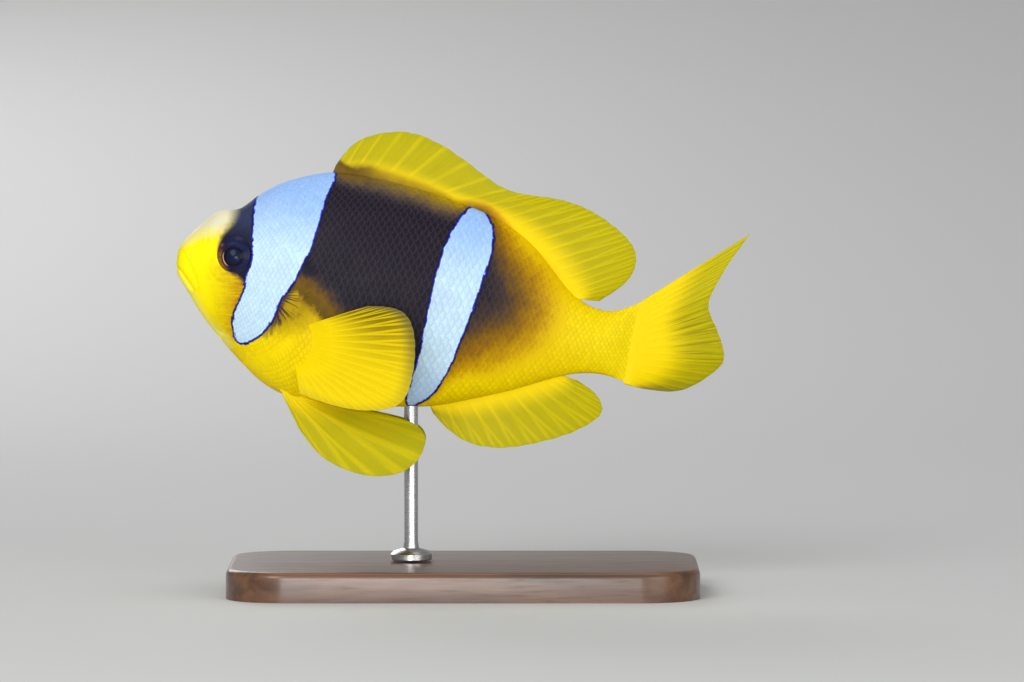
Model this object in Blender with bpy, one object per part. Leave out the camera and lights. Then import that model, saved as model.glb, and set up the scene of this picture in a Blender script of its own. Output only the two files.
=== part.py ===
"""A two-banded anemonefish (a clownfish) of life size, held still on a display stand.

The fish looks towards -X, its left flank faces -Y and +Z is up. The origin is under the middle of the stand's base.
The fish's own shape is given in shares of its standard length, which runs from the snout to the root of the tail
fin: along is measured towards the tail, up towards the back, and side towards +Y. fish_frame() turns and moves
that frame to the pose on the stand.
"""

import math

import bmesh
import bpy
import numpy as np
from mathutils import Matrix

# Driving dimensions, in metres and degrees.
STANDARD_LENGTH = 0.093
PITCH = 9.8
SNOUT_AT = (-0.0572, 0.0, 0.066)
GAP = 0.0003

BASE_SIZE = (0.094, 0.056, 0.006)
BASE_CORNER = 0.012
BASE_BEVEL = 0.0012
CORNER_STEPS = 5
ROD_X = -0.0105
ROD_RADIUS = 0.0014
ROD_SIDES = 16
ROD_TENON = 0.004
ROD_IN_BODY = 0.005
COLLAR_RADIUS = 0.0042
COLLAR_HEIGHT = 0.0022

# Along the body: station, back (along, up), belly (along, up) and half width, in shares of the standard length.
SNOUT_TIP = (-0.003, 0.006)
STATIONS = (
    (0.035, (0.001, 0.040), (0.004, -0.024), 0.030),
    (0.080, (0.034, 0.086), (0.034, -0.063), 0.046),
    (0.130, (0.078, 0.128), (0.078, -0.112), 0.061),
    (0.160, (0.111, 0.137), (0.113, -0.143), 0.069),
    (0.190, (0.141, 0.166), (0.151, -0.174), 0.077),
    (0.245, (0.198, 0.209), (0.215, -0.220), 0.089),
    (0.320, (0.290, 0.246), (0.300, -0.247), 0.100),
    (0.410, (0.390, 0.251), (0.395, -0.245), 0.103),
    (0.510, (0.490, 0.244), (0.500, -0.229), 0.097),
    (0.610, (0.590, 0.228), (0.600, -0.210), 0.084),
    (0.700, (0.680, 0.203), (0.691, -0.176), 0.068),
    (0.780, (0.765, 0.153), (0.765, -0.145), 0.052),
    (0.860, (0.850, 0.078), (0.853, -0.103), 0.037),
    (0.920, (0.914, 0.054), (0.915, -0.085), 0.027),
    (0.965, (0.960, 0.063), (0.962, -0.085), 0.019),
    (1.000, (0.995, 0.086), (0.997, -0.094), 0.010),
)
WIDEST_LEVEL = 0.49
BACK_TAPER = 1.16
BELLY_TAPER = 0.96
SECTION_POINTS = 28
STATION_STEP = 0.019

# Where the body is parted, by station.
HEAD_END = 0.262
TRUNK_SPLITS = (0.262, 0.440, 0.640, 0.855, 1.0)
TRUNK_NAMES = ("trunk_front", "trunk_middle", "trunk_rear", "tail_stalk")

# The mouth line runs from the snout down and back to the corner. The jaw is below it, the snout above.
JAW = ((-0.04, -0.012), (-0.04, -0.16), (0.093, -0.16), (0.082, -0.118), (0.064, -0.076), (0.056, -0.058),
       (0.030, -0.035), (0.002, -0.012))
SNOUT = ((-0.04, 0.12), (-0.04, -0.06), (0.060, -0.058), (0.062, -0.030), (0.052, 0.030), (0.036, 0.075),
         (0.024, 0.12))
OPERCULUM = ((0.188, 0.040), (0.176, -0.020), (0.178, -0.080), (0.166, -0.130), (0.140, -0.158), (0.190, -0.178),
             (0.232, -0.160), (0.264, -0.110), (0.280, -0.055), (0.284, 0.000), (0.268, 0.050), (0.238, 0.078),
             (0.206, 0.072))
OPERCULUM_DEPTH = 0.0013

# The eye is a flattened ball of which the eye socket's rim lets the outer cap show.
EYE_AT = (0.1230, 0.0500, 0.0375)
EYE_RADII = (0.0455, 0.0275, 0.0455)
EYE_TURN = 9.0
EYE_TILT = 8.0

# Fins: where the rays leave the body and where they end. Rays are spread evenly between the named ones.
DORSAL_ROOTS = (0.297, 0.310, 0.345, 0.395, 0.450, 0.515, 0.580, 0.645, 0.705, 0.760, 0.805, 0.838, 0.858, 0.866)
DORSAL_TIPS = ((0.301, 0.264), (0.334, 0.318), (0.390, 0.349), (0.456, 0.359), (0.535, 0.338), (0.612, 0.300),
               (0.683, 0.273), (0.768, 0.273), (0.845, 0.264), (0.912, 0.236), (0.958, 0.202), (0.972, 0.165),
               (0.958, 0.121), (0.908, 0.071))
DORSAL_SPLIT = 6
ANAL_ROOTS = (0.588, 0.602, 0.628, 0.665, 0.705, 0.745, 0.782, 0.815, 0.838, 0.852, 0.860)
ANAL_TIPS = ((0.596, -0.226), (0.632, -0.254), (0.684, -0.276), (0.745, -0.277), (0.800, -0.263), (0.855, -0.241),
             (0.905, -0.214), (0.945, -0.181), (0.954, -0.155), (0.935, -0.127), (0.890, -0.104))
CAUDAL_ROOTS = ((0.9985, 0.088), (0.9995, 0.028), (1.0005, -0.034), (1.0005, -0.096))
CAUDAL_TIPS = ((1.204, 0.270), (1.173, 0.208), (1.157, 0.168), (1.141, 0.108), (1.163, 0.062), (1.193, 0.004),
               (1.180, -0.038), (1.120, -0.089), (1.050, -0.101))
CAUDAL_CURL = 0.115
PECTORAL_ROOTS = ((0.296, -0.082), (0.306, -0.105), (0.308, -0.132), (0.302, -0.158), (0.290, -0.178))
PECTORAL_TIPS = ((0.420, -0.016), (0.498, -0.015), (0.534, -0.075), (0.540, -0.155), (0.512, -0.218),
                 (0.410, -0.240), (0.308, -0.228))
PECTORAL_SPREADS = {"left": 20.0, "right": 27.0}
PELVIC_SIDE = 0.024
PELVIC_ROOTS = (0.266, 0.284, 0.305, 0.328)
PELVIC_TIPS = ((0.318, -0.305), (0.380, -0.357), (0.460, -0.378), (0.545, -0.364), (0.592, -0.303),
               (0.562, -0.255), (0.470, -0.2465))
PELVIC_SPREADS = {"left": 15.0, "right": 19.0}
FIN_ROOT_THICKNESS = 0.0012
FIN_EDGE_SHARE = 0.5
FIN_RAYS = 18
FIN_ROWS = 6

COLOURS = {
    "yellow": ((0.86, 0.55, 0.01), 0.45, 0.0),
    "brown": ((0.03, 0.02, 0.03), 0.45, 0.0),
    "fin": ((0.72, 0.55, 0.01), 0.5, 0.0),
    "eye": ((0.01, 0.01, 0.015), 0.08, 0.0),
    "wood": ((0.09, 0.045, 0.022), 0.4, 0.0),
    "steel": ((0.6, 0.6, 0.6), 0.3, 1.0),
}


def clear_scene():
    for obj in list(bpy.data.objects):
        bpy.data.objects.remove(obj)


def smooth_curve(knots, values):
    """A function of one number that passes through the values at the knots, as a natural cubic spline."""
    x = np.asarray(knots, float)
    y = np.asarray(values, float).reshape(len(x), -1)
    step = np.diff(x)
    slope = np.diff(y, axis=0) / step[:, None]
    matrix = np.eye(len(x))
    right = np.zeros_like(y)
    for i in range(1, len(x) - 1):
        matrix[i, i - 1:i + 2] = step[i - 1], 2 * (step[i - 1] + step[i]), step[i]
        right[i] = 6 * (slope[i] - slope[i - 1])
    bend = np.linalg.solve(matrix, right)

    def at(where):
        t = np.clip(np.atleast_1d(np.asarray(where, float)), x[0], x[-1])
        i = np.clip(np.searchsorted(x, t) - 1, 0, len(step) - 1)
        h, before, after = step[i, None], (x[i + 1] - t)[:, None], (t - x[i])[:, None]
        cubic = (bend[i] * before**3 + bend[i + 1] * after**3) / (6 * h)
        return cubic + (y[i] / h - bend[i] * h / 6) * before + (y[i + 1] / h - bend[i + 1] * h / 6) * after

    return at


def body_curves():
    """The outline, from the root of the tail under the belly (-1), round the snout (0) to the back (1), and the
    half width along the same stations."""
    stations = [row[0] for row in STATIONS]
    knots = [-s for s in reversed(stations)] + [0.0] + stations
    outline = [row[2] for row in reversed(STATIONS)] + [SNOUT_TIP] + [row[1] for row in STATIONS]
    widths = [-row[3] for row in reversed(STATIONS)] + [0.0] + [row[3] for row in STATIONS]
    return smooth_curve(knots, outline), smooth_curve(knots, widths)


OUTLINE, HALF_WIDTH = body_curves()


def fish_frame():
    """The matrix from the fish's own shares to the model's metres."""
    turn = Matrix.Rotation(math.radians(PITCH), 4, "Y")
    return Matrix.Translation(SNOUT_AT) @ turn @ Matrix.Scale(STANDARD_LENGTH, 4)


FRAME = fish_frame()


def section(station, thinner=0.0):
    """The points of one cross-section, from the back down the +Y flank and up the other one."""
    back, belly = OUTLINE(station)[0], OUTLINE(-station)[0]
    half = max(float(HALF_WIDTH(station)[0, 0]) - thinner, 0.0)
    level = belly + (back - belly) * WIDEST_LEVEL
    angle = np.arange(SECTION_POINTS) * 2 * math.pi / SECTION_POINTS
    up, side = np.cos(angle), np.sin(angle)
    taper = np.where(up > 0, BACK_TAPER, BELLY_TAPER)
    reach = np.where(up > 0, 1.0, -1.0)[:, None]
    end = np.where(up[:, None] > 0, back, belly)
    median = level + (end - level) * (up[:, None] * reach)
    width = half * np.sign(side) * np.abs(side) ** taper
    return np.column_stack([median[:, 0], width, median[:, 1]])


def mesh_object(name, bm, colour):
    """A finished object of this mesh, which is given in shares of the fish's own frame."""
    bmesh.ops.recalc_face_normals(bm, faces=bm.faces)
    bmesh.ops.transform(bm, matrix=FRAME, verts=bm.verts)
    return placed_object(name, bm, colour)


def placed_object(name, bm, colour):
    """A finished object of this mesh, which is already in the model's metres."""
    mesh = bpy.data.meshes.new(name)
    bm.to_mesh(mesh)
    bm.free()
    mesh.shade_smooth()
    obj = bpy.data.objects.new(name, mesh)
    bpy.context.collection.objects.link(obj)
    mesh.materials.append(material(name, *COLOURS[colour]))
    return obj


def material(name, colour, roughness, metallic):
    made = bpy.data.materials.new(name)
    made.use_nodes = True
    shader = made.node_tree.nodes["Principled BSDF"]
    shader.inputs["Base Color"].default_value = (*colour, 1.0)
    shader.inputs["Roughness"].default_value = roughness
    shader.inputs["Metallic"].default_value = metallic
    return made


def as_cutter(obj):
    obj.hide_render = True
    obj.display_type = "WIRE"
    return obj


def boolean(obj, operation, cutter):
    modifier = obj.modifiers.new(f"{operation}_{cutter.name}", "BOOLEAN")
    modifier.operation = operation
    modifier.solver = "EXACT"
    modifier.object = cutter


def body_length(name, first, last, colour, thinner=0.0):
    """The closed length of body between two stations. At station 0 it ends in the snout's point."""
    count = max(2, math.ceil((last - first) / STATION_STEP) + 1)
    stations = np.linspace(first, last, count)
    bm = bmesh.new()
    rings = []
    for station in stations:
        if station == 0:
            rings.append([bm.verts.new((SNOUT_TIP[0], 0, SNOUT_TIP[1]))])
        else:
            rings.append([bm.verts.new(point) for point in section(station, thinner)])
    for near, far in zip(rings, rings[1:]):
        for i in range(SECTION_POINTS):
            j = (i + 1) % SECTION_POINTS
            corners = [near[i % len(near)], near[j % len(near)], far[j], far[i]]
            bm.faces.new(list(dict.fromkeys(corners)))
    for ring in (rings[0], rings[-1]):
        if len(ring) > 1:
            bm.faces.new(ring)
    return mesh_object(name, bm, colour)


def grown(outline, by):
    """The outline moved outwards by this much at each corner."""
    points = np.asarray(outline, float)
    if np.cross(points, np.roll(points, -1, axis=0)).sum() < 0:
        points = points[::-1]
    edge = np.roll(points, -1, axis=0) - points
    normal = np.column_stack([edge[:, 1], -edge[:, 0]]) / np.linalg.norm(edge, axis=1)[:, None]
    corner = normal + np.roll(normal, 1, axis=0)
    corner /= np.linalg.norm(corner, axis=1)[:, None]
    return points + corner * by / np.maximum((corner * normal).sum(1), 0.5)[:, None]


def prism(name, outline, sides):
    """A cutter: the outline, seen from the side, drawn out between two sides of the fish."""
    bm = bmesh.new()
    near, far = ([bm.verts.new((along, side, up)) for along, up in outline] for side in sides)
    bm.faces.new(near)
    bm.faces.new(list(reversed(far)))
    for i in range(len(near)):
        j = (i + 1) % len(near)
        bm.faces.new((near[i], near[j], far[j], far[i]))
    return as_cutter(mesh_object(name, bm, "brown"))


def eye_shape(name, side, larger, colour):
    """A flattened ball, turned to face outwards and a little forwards."""
    bm = bmesh.new()
    bmesh.ops.create_uvsphere(bm, u_segments=18, v_segments=10, radius=1.0)
    along, across, up = EYE_AT
    size = [radius + larger for radius in EYE_RADII]
    turn = Matrix.Rotation(math.radians(EYE_TURN * side), 4, "Z")
    turn @= Matrix.Rotation(math.radians(EYE_TILT * side), 4, "X")
    place = Matrix.Translation((along, across * side, up)) @ turn @ Matrix.Diagonal((*size, 1.0))
    bmesh.ops.transform(bm, matrix=place @ Matrix.Rotation(math.pi / 2, 4, "X"), verts=bm.verts)
    return mesh_object(name, bm, colour)


def make_body():
    """The trunk's lengths, the head with its snout, lower jaw and gill covers, and the eyes."""
    gap = GAP / STANDARD_LENGTH
    wide = (-0.2, 0.2)
    jaw = prism("cut_jaw", JAW, wide)
    around_jaw = prism("cut_round_jaw", grown(JAW, gap), wide)
    snout = prism("cut_snout", SNOUT, wide)
    around_snout = prism("cut_round_snout", grown(SNOUT, gap), wide)

    head = body_length("head", 0.0, HEAD_END - gap / 2, "yellow")
    lower_jaw = body_length("lower_jaw", 0.0, HEAD_END / 2, "yellow")
    boolean(lower_jaw, "INTERSECT", jaw)
    upper_jaw = body_length("snout", 0.0, HEAD_END / 2, "yellow")
    boolean(upper_jaw, "INTERSECT", snout)
    boolean(upper_jaw, "DIFFERENCE", around_jaw)
    boolean(head, "DIFFERENCE", around_jaw)
    boolean(head, "DIFFERENCE", around_snout)

    lengths = []
    for name, first, last in zip(TRUNK_NAMES, TRUNK_SPLITS, TRUNK_SPLITS[1:]):
        colour = "yellow" if name == "tail_stalk" else "brown"
        lengths.append(body_length(name, first + gap / 2, last - gap / 2, colour))

    for side, word in ((-1, "left"), (1, "right")):
        make_operculum(word, side, (head, lengths[0]), gap)
        socket = as_cutter(eye_shape(f"cut_eye_{word}", side, gap, "eye"))
        boolean(head, "DIFFERENCE", socket)
        eye_shape(f"eye_{word}", side, 0.0, "eye")
    return lengths


def make_operculum(word, side, bodies, gap):
    """One gill cover: a shallow plate of the flank, with the head and trunk cut back behind it."""
    depth = OPERCULUM_DEPTH / STANDARD_LENGTH
    half = (0.0, 0.2 * side)
    core = as_cutter(body_length(f"cut_core_{word}", 0.06, 0.42, "brown", thinner=depth))
    deep_core = as_cutter(body_length(f"cut_deep_core_{word}", 0.06, 0.42, "brown", thinner=depth + 2 * gap))
    pocket = prism(f"cut_pocket_{word}", grown(OPERCULUM, gap), half)
    boolean(pocket, "DIFFERENCE", deep_core)
    outline = prism(f"cut_operculum_{word}", OPERCULUM, half)
    cover = body_length(f"operculum_{word}", 0.09, 0.36, "yellow")
    boolean(cover, "INTERSECT", outline)
    boolean(cover, "DIFFERENCE", core)
    for body in bodies:
        boolean(body, "DIFFERENCE", pocket)


def fin(name, roots, tips, side_of, first=0.0, last=1.0):
    """A fin as a curved sheet of rays. roots and tips are points of the outline; side_of gives how far to the side
    a point lies, from its share across the fin, its share along the ray, the ray's root and the point."""
    root_line = smooth_curve(np.linspace(0, 1, len(roots)), roots)
    tip_line = smooth_curve(np.linspace(0, 1, len(tips)), tips)
    across = np.linspace(first, last, FIN_RAYS)
    along = np.linspace(0, 1, FIN_ROWS)
    bm = bmesh.new()
    weight = bm.verts.layers.deform.new()
    grid = []
    for a in across:
        root, tip = root_line(a)[0], tip_line(a)[0]
        ray = []
        for b in along:
            at = root + (tip - root) * b
            vert = bm.verts.new((at[0], side_of(a, b, root, at), at[1]))
            vert[weight][0] = 1 - (1 - FIN_EDGE_SHARE) * b
            ray.append(vert)
        grid.append(ray)
    for ray, after in zip(grid, grid[1:]):
        for i in range(FIN_ROWS - 1):
            bm.faces.new((ray[i], after[i], after[i + 1], ray[i + 1]))
    obj = mesh_object(name, bm, "fin")
    obj.vertex_groups.new(name="thickness")
    solid = obj.modifiers.new("thickness", "SOLIDIFY")
    solid.thickness = FIN_ROOT_THICKNESS
    solid.offset = 0.0
    solid.vertex_group = "thickness"
    solid.thickness_vertex_group = 0.0
    return obj


def along_back(roots, outward):
    """Root points on the body's outline, with the gap and half the fin's thickness left outside it."""
    stations = np.linspace(0.2, 1.0, 400) * outward
    line = OUTLINE(stations)
    clear = GAP / STANDARD_LENGTH * 1.3
    return [(along, float(np.interp(along, line[:, 0], line[:, 1])) + clear * outward) for along in roots]


def upright(wave, turns):
    """Side of a fin on the middle plane, with a slight wave that grows towards its edge."""
    return lambda a, b, root, at: wave * b * b * math.sin(math.pi * turns * a)


def make_middle_fins():
    dorsal_roots = along_back(DORSAL_ROOTS, 1)
    split = DORSAL_SPLIT / (len(DORSAL_ROOTS) - 1)
    apart = GAP / STANDARD_LENGTH / (DORSAL_ROOTS[DORSAL_SPLIT + 1] - DORSAL_ROOTS[DORSAL_SPLIT])
    apart *= 0.8 / (len(DORSAL_ROOTS) - 1)
    lean = upright(0.012, 2.6)
    fin("dorsal_fin_spiny", dorsal_roots, DORSAL_TIPS, lean, 0.0, split - apart)
    fin("dorsal_fin_soft", dorsal_roots, DORSAL_TIPS, lean, split + apart, 1.0)
    fin("anal_fin", along_back(ANAL_ROOTS, -1), ANAL_TIPS, upright(-0.010, 2.2))

    def curl(a, b, root, at):
        return CAUDAL_CURL * b**1.6 * max(0.0, a - 0.3) ** 1.5 / 0.7**1.5 * (1 - 0.35 * a)

    fin("caudal_fin", CAUDAL_ROOTS, CAUDAL_TIPS, curl)


def cut_at(along, up):
    """The back, the belly and the half width of the cross-section that passes through this place."""
    station = along
    for _ in range(6):
        back, belly = OUTLINE(station)[0], OUTLINE(-station)[0]
        share = (up - belly[1]) / (back[1] - belly[1])
        station += along - (belly[0] + (back[0] - belly[0]) * share)
    return back[1], belly[1], float(HALF_WIDTH(station)[0, 0])


def flank_at(along, up):
    """Half width of the body at a place on its flank, below the widest level."""
    back, belly, half = cut_at(along, up)
    level = belly + (back - belly) * WIDEST_LEVEL
    share = min(1.0, (level - up) / (level - belly))
    return half * math.sqrt(1 - share * share) ** BELLY_TAPER


def belly_at(along, side):
    """Height of the body's underside at a place off the middle."""
    back, belly, half = cut_at(along, -0.22)
    level = belly + (back - belly) * WIDEST_LEVEL
    return level - (level - belly) * math.sqrt(1 - (side / half) ** (2 / BELLY_TAPER))


def make_paired_fins():
    clear = (GAP + FIN_ROOT_THICKNESS / 2) / STANDARD_LENGTH * 1.15
    pelvic_roots = [(along, belly_at(along, PELVIC_SIDE) - clear) for along in PELVIC_ROOTS]
    for side, word in ((-1, "left"), (1, "right")):
        spread = math.tan(math.radians(PECTORAL_SPREADS[word]))

        def pectoral_side(a, b, root, at, side=side, spread=spread):
            away = spread * float(np.hypot(*(at - root)))
            return side * (flank_at(*root) + clear + away + 0.010 * b * math.sin(math.pi * a))

        fin(f"pectoral_fin_{word}", PECTORAL_ROOTS, PECTORAL_TIPS, pectoral_side)
        tilt = math.tan(math.radians(PELVIC_SPREADS[word]))

        def pelvic_side(a, b, root, at, side=side, tilt=tilt):
            return side * (PELVIC_SIDE + tilt * (root[1] - at[1]) + 0.010 * b * math.sin(math.pi * a))

        fin(f"pelvic_fin_{word}", pelvic_roots, PELVIC_TIPS, pelvic_side)


def make_base():
    """A rounded plate with softened edges and a socket for the rod."""
    length, depth, height = BASE_SIZE
    bm = bmesh.new()
    corners = []
    for quarter, (sx, sy) in enumerate(((1, 1), (-1, 1), (-1, -1), (1, -1))):
        for step in range(CORNER_STEPS + 1):
            angle = math.pi / 2 * (quarter + step / CORNER_STEPS)
            x = sx * (length / 2 - BASE_CORNER) + BASE_CORNER * math.cos(angle)
            y = sy * (depth / 2 - BASE_CORNER) + BASE_CORNER * math.sin(angle)
            corners.append(bm.verts.new((x, y, 0.0)))
    floor_face = bm.faces.new(corners)
    raised = bmesh.ops.extrude_face_region(bm, geom=[floor_face])
    top = [item for item in raised["geom"] if isinstance(item, bmesh.types.BMVert)]
    bmesh.ops.translate(bm, verts=top, vec=(0, 0, height))
    rim = [edge for edge in bm.edges if all(abs(vert.co.z - height) < 1e-6 for vert in edge.verts)]
    bmesh.ops.bevel(bm, geom=rim, offset=BASE_BEVEL, segments=3, profile=0.5, affect="EDGES")
    bmesh.ops.recalc_face_normals(bm, faces=bm.faces)
    base = placed_object("stand_base", bm, "wood")
    bore = cylinder("cut_base_socket", ROD_RADIUS + GAP, height - ROD_TENON - GAP, height + GAP)
    boolean(base, "DIFFERENCE", as_cutter(bore))


def cylinder(name, radius, bottom, top):
    bm = bmesh.new()
    bmesh.ops.create_cone(bm, cap_ends=True, segments=ROD_SIDES, radius1=radius, radius2=radius, depth=top - bottom)
    bmesh.ops.translate(bm, verts=bm.verts, vec=(ROD_X, 0, (bottom + top) / 2))
    return placed_object(name, bm, "steel")


def make_rod(trunk):
    """A turned steel rod with a collar, set in the base below and in the trunk above."""
    height = BASE_SIZE[2]
    top = belly_height(ROD_X) + ROD_IN_BODY
    profile = (
        (0.0, height - ROD_TENON),
        (ROD_RADIUS, height - ROD_TENON),
        (ROD_RADIUS, height + GAP),
        (COLLAR_RADIUS, height + GAP),
        (COLLAR_RADIUS, height + COLLAR_HEIGHT * 0.7),
        (COLLAR_RADIUS * 0.82, height + COLLAR_HEIGHT),
        (ROD_RADIUS * 1.15, height + COLLAR_HEIGHT * 1.25),
        (ROD_RADIUS, height + COLLAR_HEIGHT * 1.8),
        (ROD_RADIUS, top - ROD_RADIUS * 0.4),
        (ROD_RADIUS * 0.6, top),
        (0.0, top),
    )
    bm = bmesh.new()
    verts = [bm.verts.new((ROD_X + radius, 0, z)) for radius, z in profile]
    edges = [bm.edges.new(pair) for pair in zip(verts, verts[1:])]
    bmesh.ops.spin(bm, geom=verts + edges, cent=(ROD_X, 0, 0), axis=(0, 0, 1), angle=math.tau, steps=ROD_SIDES)
    bmesh.ops.remove_doubles(bm, verts=bm.verts, dist=1e-6)
    bmesh.ops.recalc_face_normals(bm, faces=bm.faces)
    placed_object("stand_rod", bm, "steel")
    bore = cylinder("cut_trunk_socket", ROD_RADIUS + GAP, height + COLLAR_HEIGHT * 2, top + GAP)
    boolean(trunk, "DIFFERENCE", as_cutter(bore))


def belly_height(x):
    """The height of the lowest body outline over one place on the base."""
    line = OUTLINE(-np.linspace(0.3, 0.9, 200))
    points = [FRAME @ Matrix.Translation((along, 0, up)).to_translation() for along, up in line]
    return float(np.interp(x, [point.x for point in points], [point.z for point in points]))


def main():
    clear_scene()
    lengths = make_body()
    make_middle_fins()
    make_paired_fins()
    make_base()
    make_rod(lengths[1])


main()
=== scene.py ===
"""The looks of a two-banded anemonefish (a clownfish) on its display stand.

The fish's shape is worked out in shares of its standard length, as in the solids: along runs from the snout
to the root of the tail fin, up towards the back, side towards +Y. The skin lies inside the solids by the
scales' depth, and the scales are thin plates on it, laid in rows that overlap towards the tail.
"""

import math

import bmesh
import bpy
import numpy as np
from mathutils import Matrix, Vector


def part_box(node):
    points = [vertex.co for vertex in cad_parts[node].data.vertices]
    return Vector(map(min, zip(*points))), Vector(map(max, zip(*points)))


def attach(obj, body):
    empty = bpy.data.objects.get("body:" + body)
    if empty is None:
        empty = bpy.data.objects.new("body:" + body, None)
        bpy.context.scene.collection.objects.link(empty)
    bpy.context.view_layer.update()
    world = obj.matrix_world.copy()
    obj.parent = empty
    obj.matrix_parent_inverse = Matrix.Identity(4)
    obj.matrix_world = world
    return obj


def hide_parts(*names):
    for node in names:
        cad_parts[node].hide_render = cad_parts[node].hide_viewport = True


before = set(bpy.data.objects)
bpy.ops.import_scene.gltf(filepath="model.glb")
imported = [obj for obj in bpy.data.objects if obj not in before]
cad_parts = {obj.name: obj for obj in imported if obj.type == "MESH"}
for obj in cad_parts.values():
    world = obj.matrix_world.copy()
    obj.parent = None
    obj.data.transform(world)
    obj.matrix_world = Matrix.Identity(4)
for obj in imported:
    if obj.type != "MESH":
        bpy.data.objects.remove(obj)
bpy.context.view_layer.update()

# The fish's driving dimensions, which the solids share. Metres and degrees.
STANDARD_LENGTH = 0.093
PITCH = 9.8
SNOUT_AT = (-0.0572, 0.0, 0.066)
MM = 0.001 / STANDARD_LENGTH
SIDES = (-1, "left"), (1, "right")


def shares(*thousandths):
    """Numbers or points given in thousandths of the standard length, as an array of shares."""
    return np.array(thousandths) / 1000


# Along the body: station, back (along, up), belly (along, up) and half width, in shares of the standard
# length.
SNOUT_TIP = (-0.003, 0.006)
STATIONS = (
    (0.035, (0.001, 0.040), (0.004, -0.024), 0.030),
    (0.080, (0.034, 0.086), (0.034, -0.063), 0.046),
    (0.130, (0.078, 0.128), (0.078, -0.112), 0.061),
    (0.160, (0.111, 0.137), (0.113, -0.143), 0.069),
    (0.190, (0.141, 0.166), (0.151, -0.174), 0.077),
    (0.245, (0.198, 0.209), (0.215, -0.220), 0.089),
    (0.320, (0.290, 0.246), (0.300, -0.247), 0.100),
    (0.410, (0.390, 0.251), (0.395, -0.245), 0.103),
    (0.510, (0.490, 0.244), (0.500, -0.229), 0.097),
    (0.610, (0.590, 0.228), (0.600, -0.210), 0.084),
    (0.700, (0.680, 0.203), (0.691, -0.176), 0.068),
    (0.780, (0.765, 0.153), (0.765, -0.145), 0.052),
    (0.860, (0.850, 0.078), (0.853, -0.103), 0.037),
    (0.920, (0.914, 0.054), (0.915, -0.085), 0.027),
    (0.965, (0.960, 0.063), (0.962, -0.085), 0.019),
    (1.000, (0.995, 0.086), (0.997, -0.094), 0.010),
)
WIDEST_LEVEL = 0.49
BACK_TAPER = 1.16
BELLY_TAPER = 0.96

EYE_AT = (0.1230, 0.0500, 0.0375)
EYE_RADII = (0.0455, 0.0275, 0.0455)
EYE_TURN = 9.0
EYE_TILT = 8.0

DORSAL_ROOTS = shares(297, 310, 345, 395, 450, 515, 580, 645, 705, 760, 805, 838, 858, 866)
DORSAL_TIPS = shares((301, 264), (334, 318), (390, 349), (456, 359), (535, 338), (612, 300), (683, 273),
                     (768, 273), (845, 264), (912, 236), (958, 202), (972, 165), (958, 121), (908, 71))
ANAL_ROOTS = shares(588, 602, 628, 665, 705, 745, 782, 815, 838, 852, 860)
ANAL_TIPS = shares((596, -226), (632, -254), (684, -276), (745, -277), (800, -263), (855, -241),
                   (905, -214), (945, -181), (954, -155), (935, -127), (890, -104))
CAUDAL_ROOTS = shares((998.5, 88), (999.5, 28), (1000.5, -34), (1000.5, -96))
CAUDAL_TIPS = shares((1204, 270), (1173, 208), (1157, 168), (1141, 108), (1163, 62), (1193, 4),
                     (1180, -38), (1120, -89), (1050, -101))
CAUDAL_CURL = 0.115
PECTORAL_ROOTS = shares((296, -82), (306, -105), (308, -132), (302, -158), (290, -178))
PECTORAL_TIPS = shares((420, -16), (498, -15), (534, -75), (540, -155), (512, -218), (410, -240),
                       (308, -228))
PECTORAL_SPREADS = {"left": 20.0, "right": 27.0}
PELVIC_SIDE = 0.024
PELVIC_ROOTS = shares(266, 284, 305, 328)
PELVIC_TIPS = shares((318, -305), (380, -357), (460, -378), (545, -364), (592, -303), (562, -255),
                     (470, -246.5))
PELVIC_SPREADS = {"left": 15.0, "right": 19.0}

# The skin and the scales on it.
COAT_DEPTH = 0.12 * MM
HEAD_RINGS = 230
BODY_RINGS = 110
HEAD_STATION = 0.30
RING_POINTS = 240
SHEATH_END = 1.014
SHEATH_WAY = {1: np.array([0.77, 0.638]), -1: np.array([0.995, -0.10])}


def smooth_curve(knots, values):
    """A function of one number that passes through the values at the knots, as a natural cubic spline."""
    x = np.asarray(knots, float)
    y = np.asarray(values, float).reshape(len(x), -1)
    step = np.diff(x)
    slope = np.diff(y, axis=0) / step[:, None]
    matrix = np.eye(len(x))
    right = np.zeros_like(y)
    for i in range(1, len(x) - 1):
        matrix[i, i - 1:i + 2] = step[i - 1], 2 * (step[i - 1] + step[i]), step[i]
        right[i] = 6 * (slope[i] - slope[i - 1])
    bend = np.linalg.solve(matrix, right)

    def at(where):
        t = np.clip(np.atleast_1d(np.asarray(where, float)), x[0], x[-1])
        i = np.clip(np.searchsorted(x, t) - 1, 0, len(step) - 1)
        h, before, after = step[i, None], (x[i + 1] - t)[:, None], (t - x[i])[:, None]
        cubic = (bend[i] * before**3 + bend[i + 1] * after**3) / (6 * h)
        return cubic + (y[i] / h - bend[i] * h / 6) * before + (y[i + 1] / h - bend[i + 1] * h / 6) * after

    return at


def body_curves():
    """The outline, from the root of the tail under the belly (-1), round the snout (0) to the back (1), and
    the half width along the same stations."""
    stations = [row[0] for row in STATIONS]
    knots = [-s for s in reversed(stations)] + [0.0] + stations
    outline = [row[2] for row in reversed(STATIONS)] + [SNOUT_TIP] + [row[1] for row in STATIONS]
    widths = [-row[3] for row in reversed(STATIONS)] + [0.0] + [row[3] for row in STATIONS]
    return smooth_curve(knots, outline), smooth_curve(knots, widths)


OUTLINE, HALF_WIDTH = body_curves()
FISH = (Matrix.Translation(SNOUT_AT) @ Matrix.Rotation(math.radians(PITCH), 4, "Y")
        @ Matrix.Scale(STANDARD_LENGTH, 4))
FISH_NP = np.array(FISH)


def to_metres(points):
    return points @ FISH_NP[:3, :3].T + FISH_NP[:3, 3]


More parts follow.
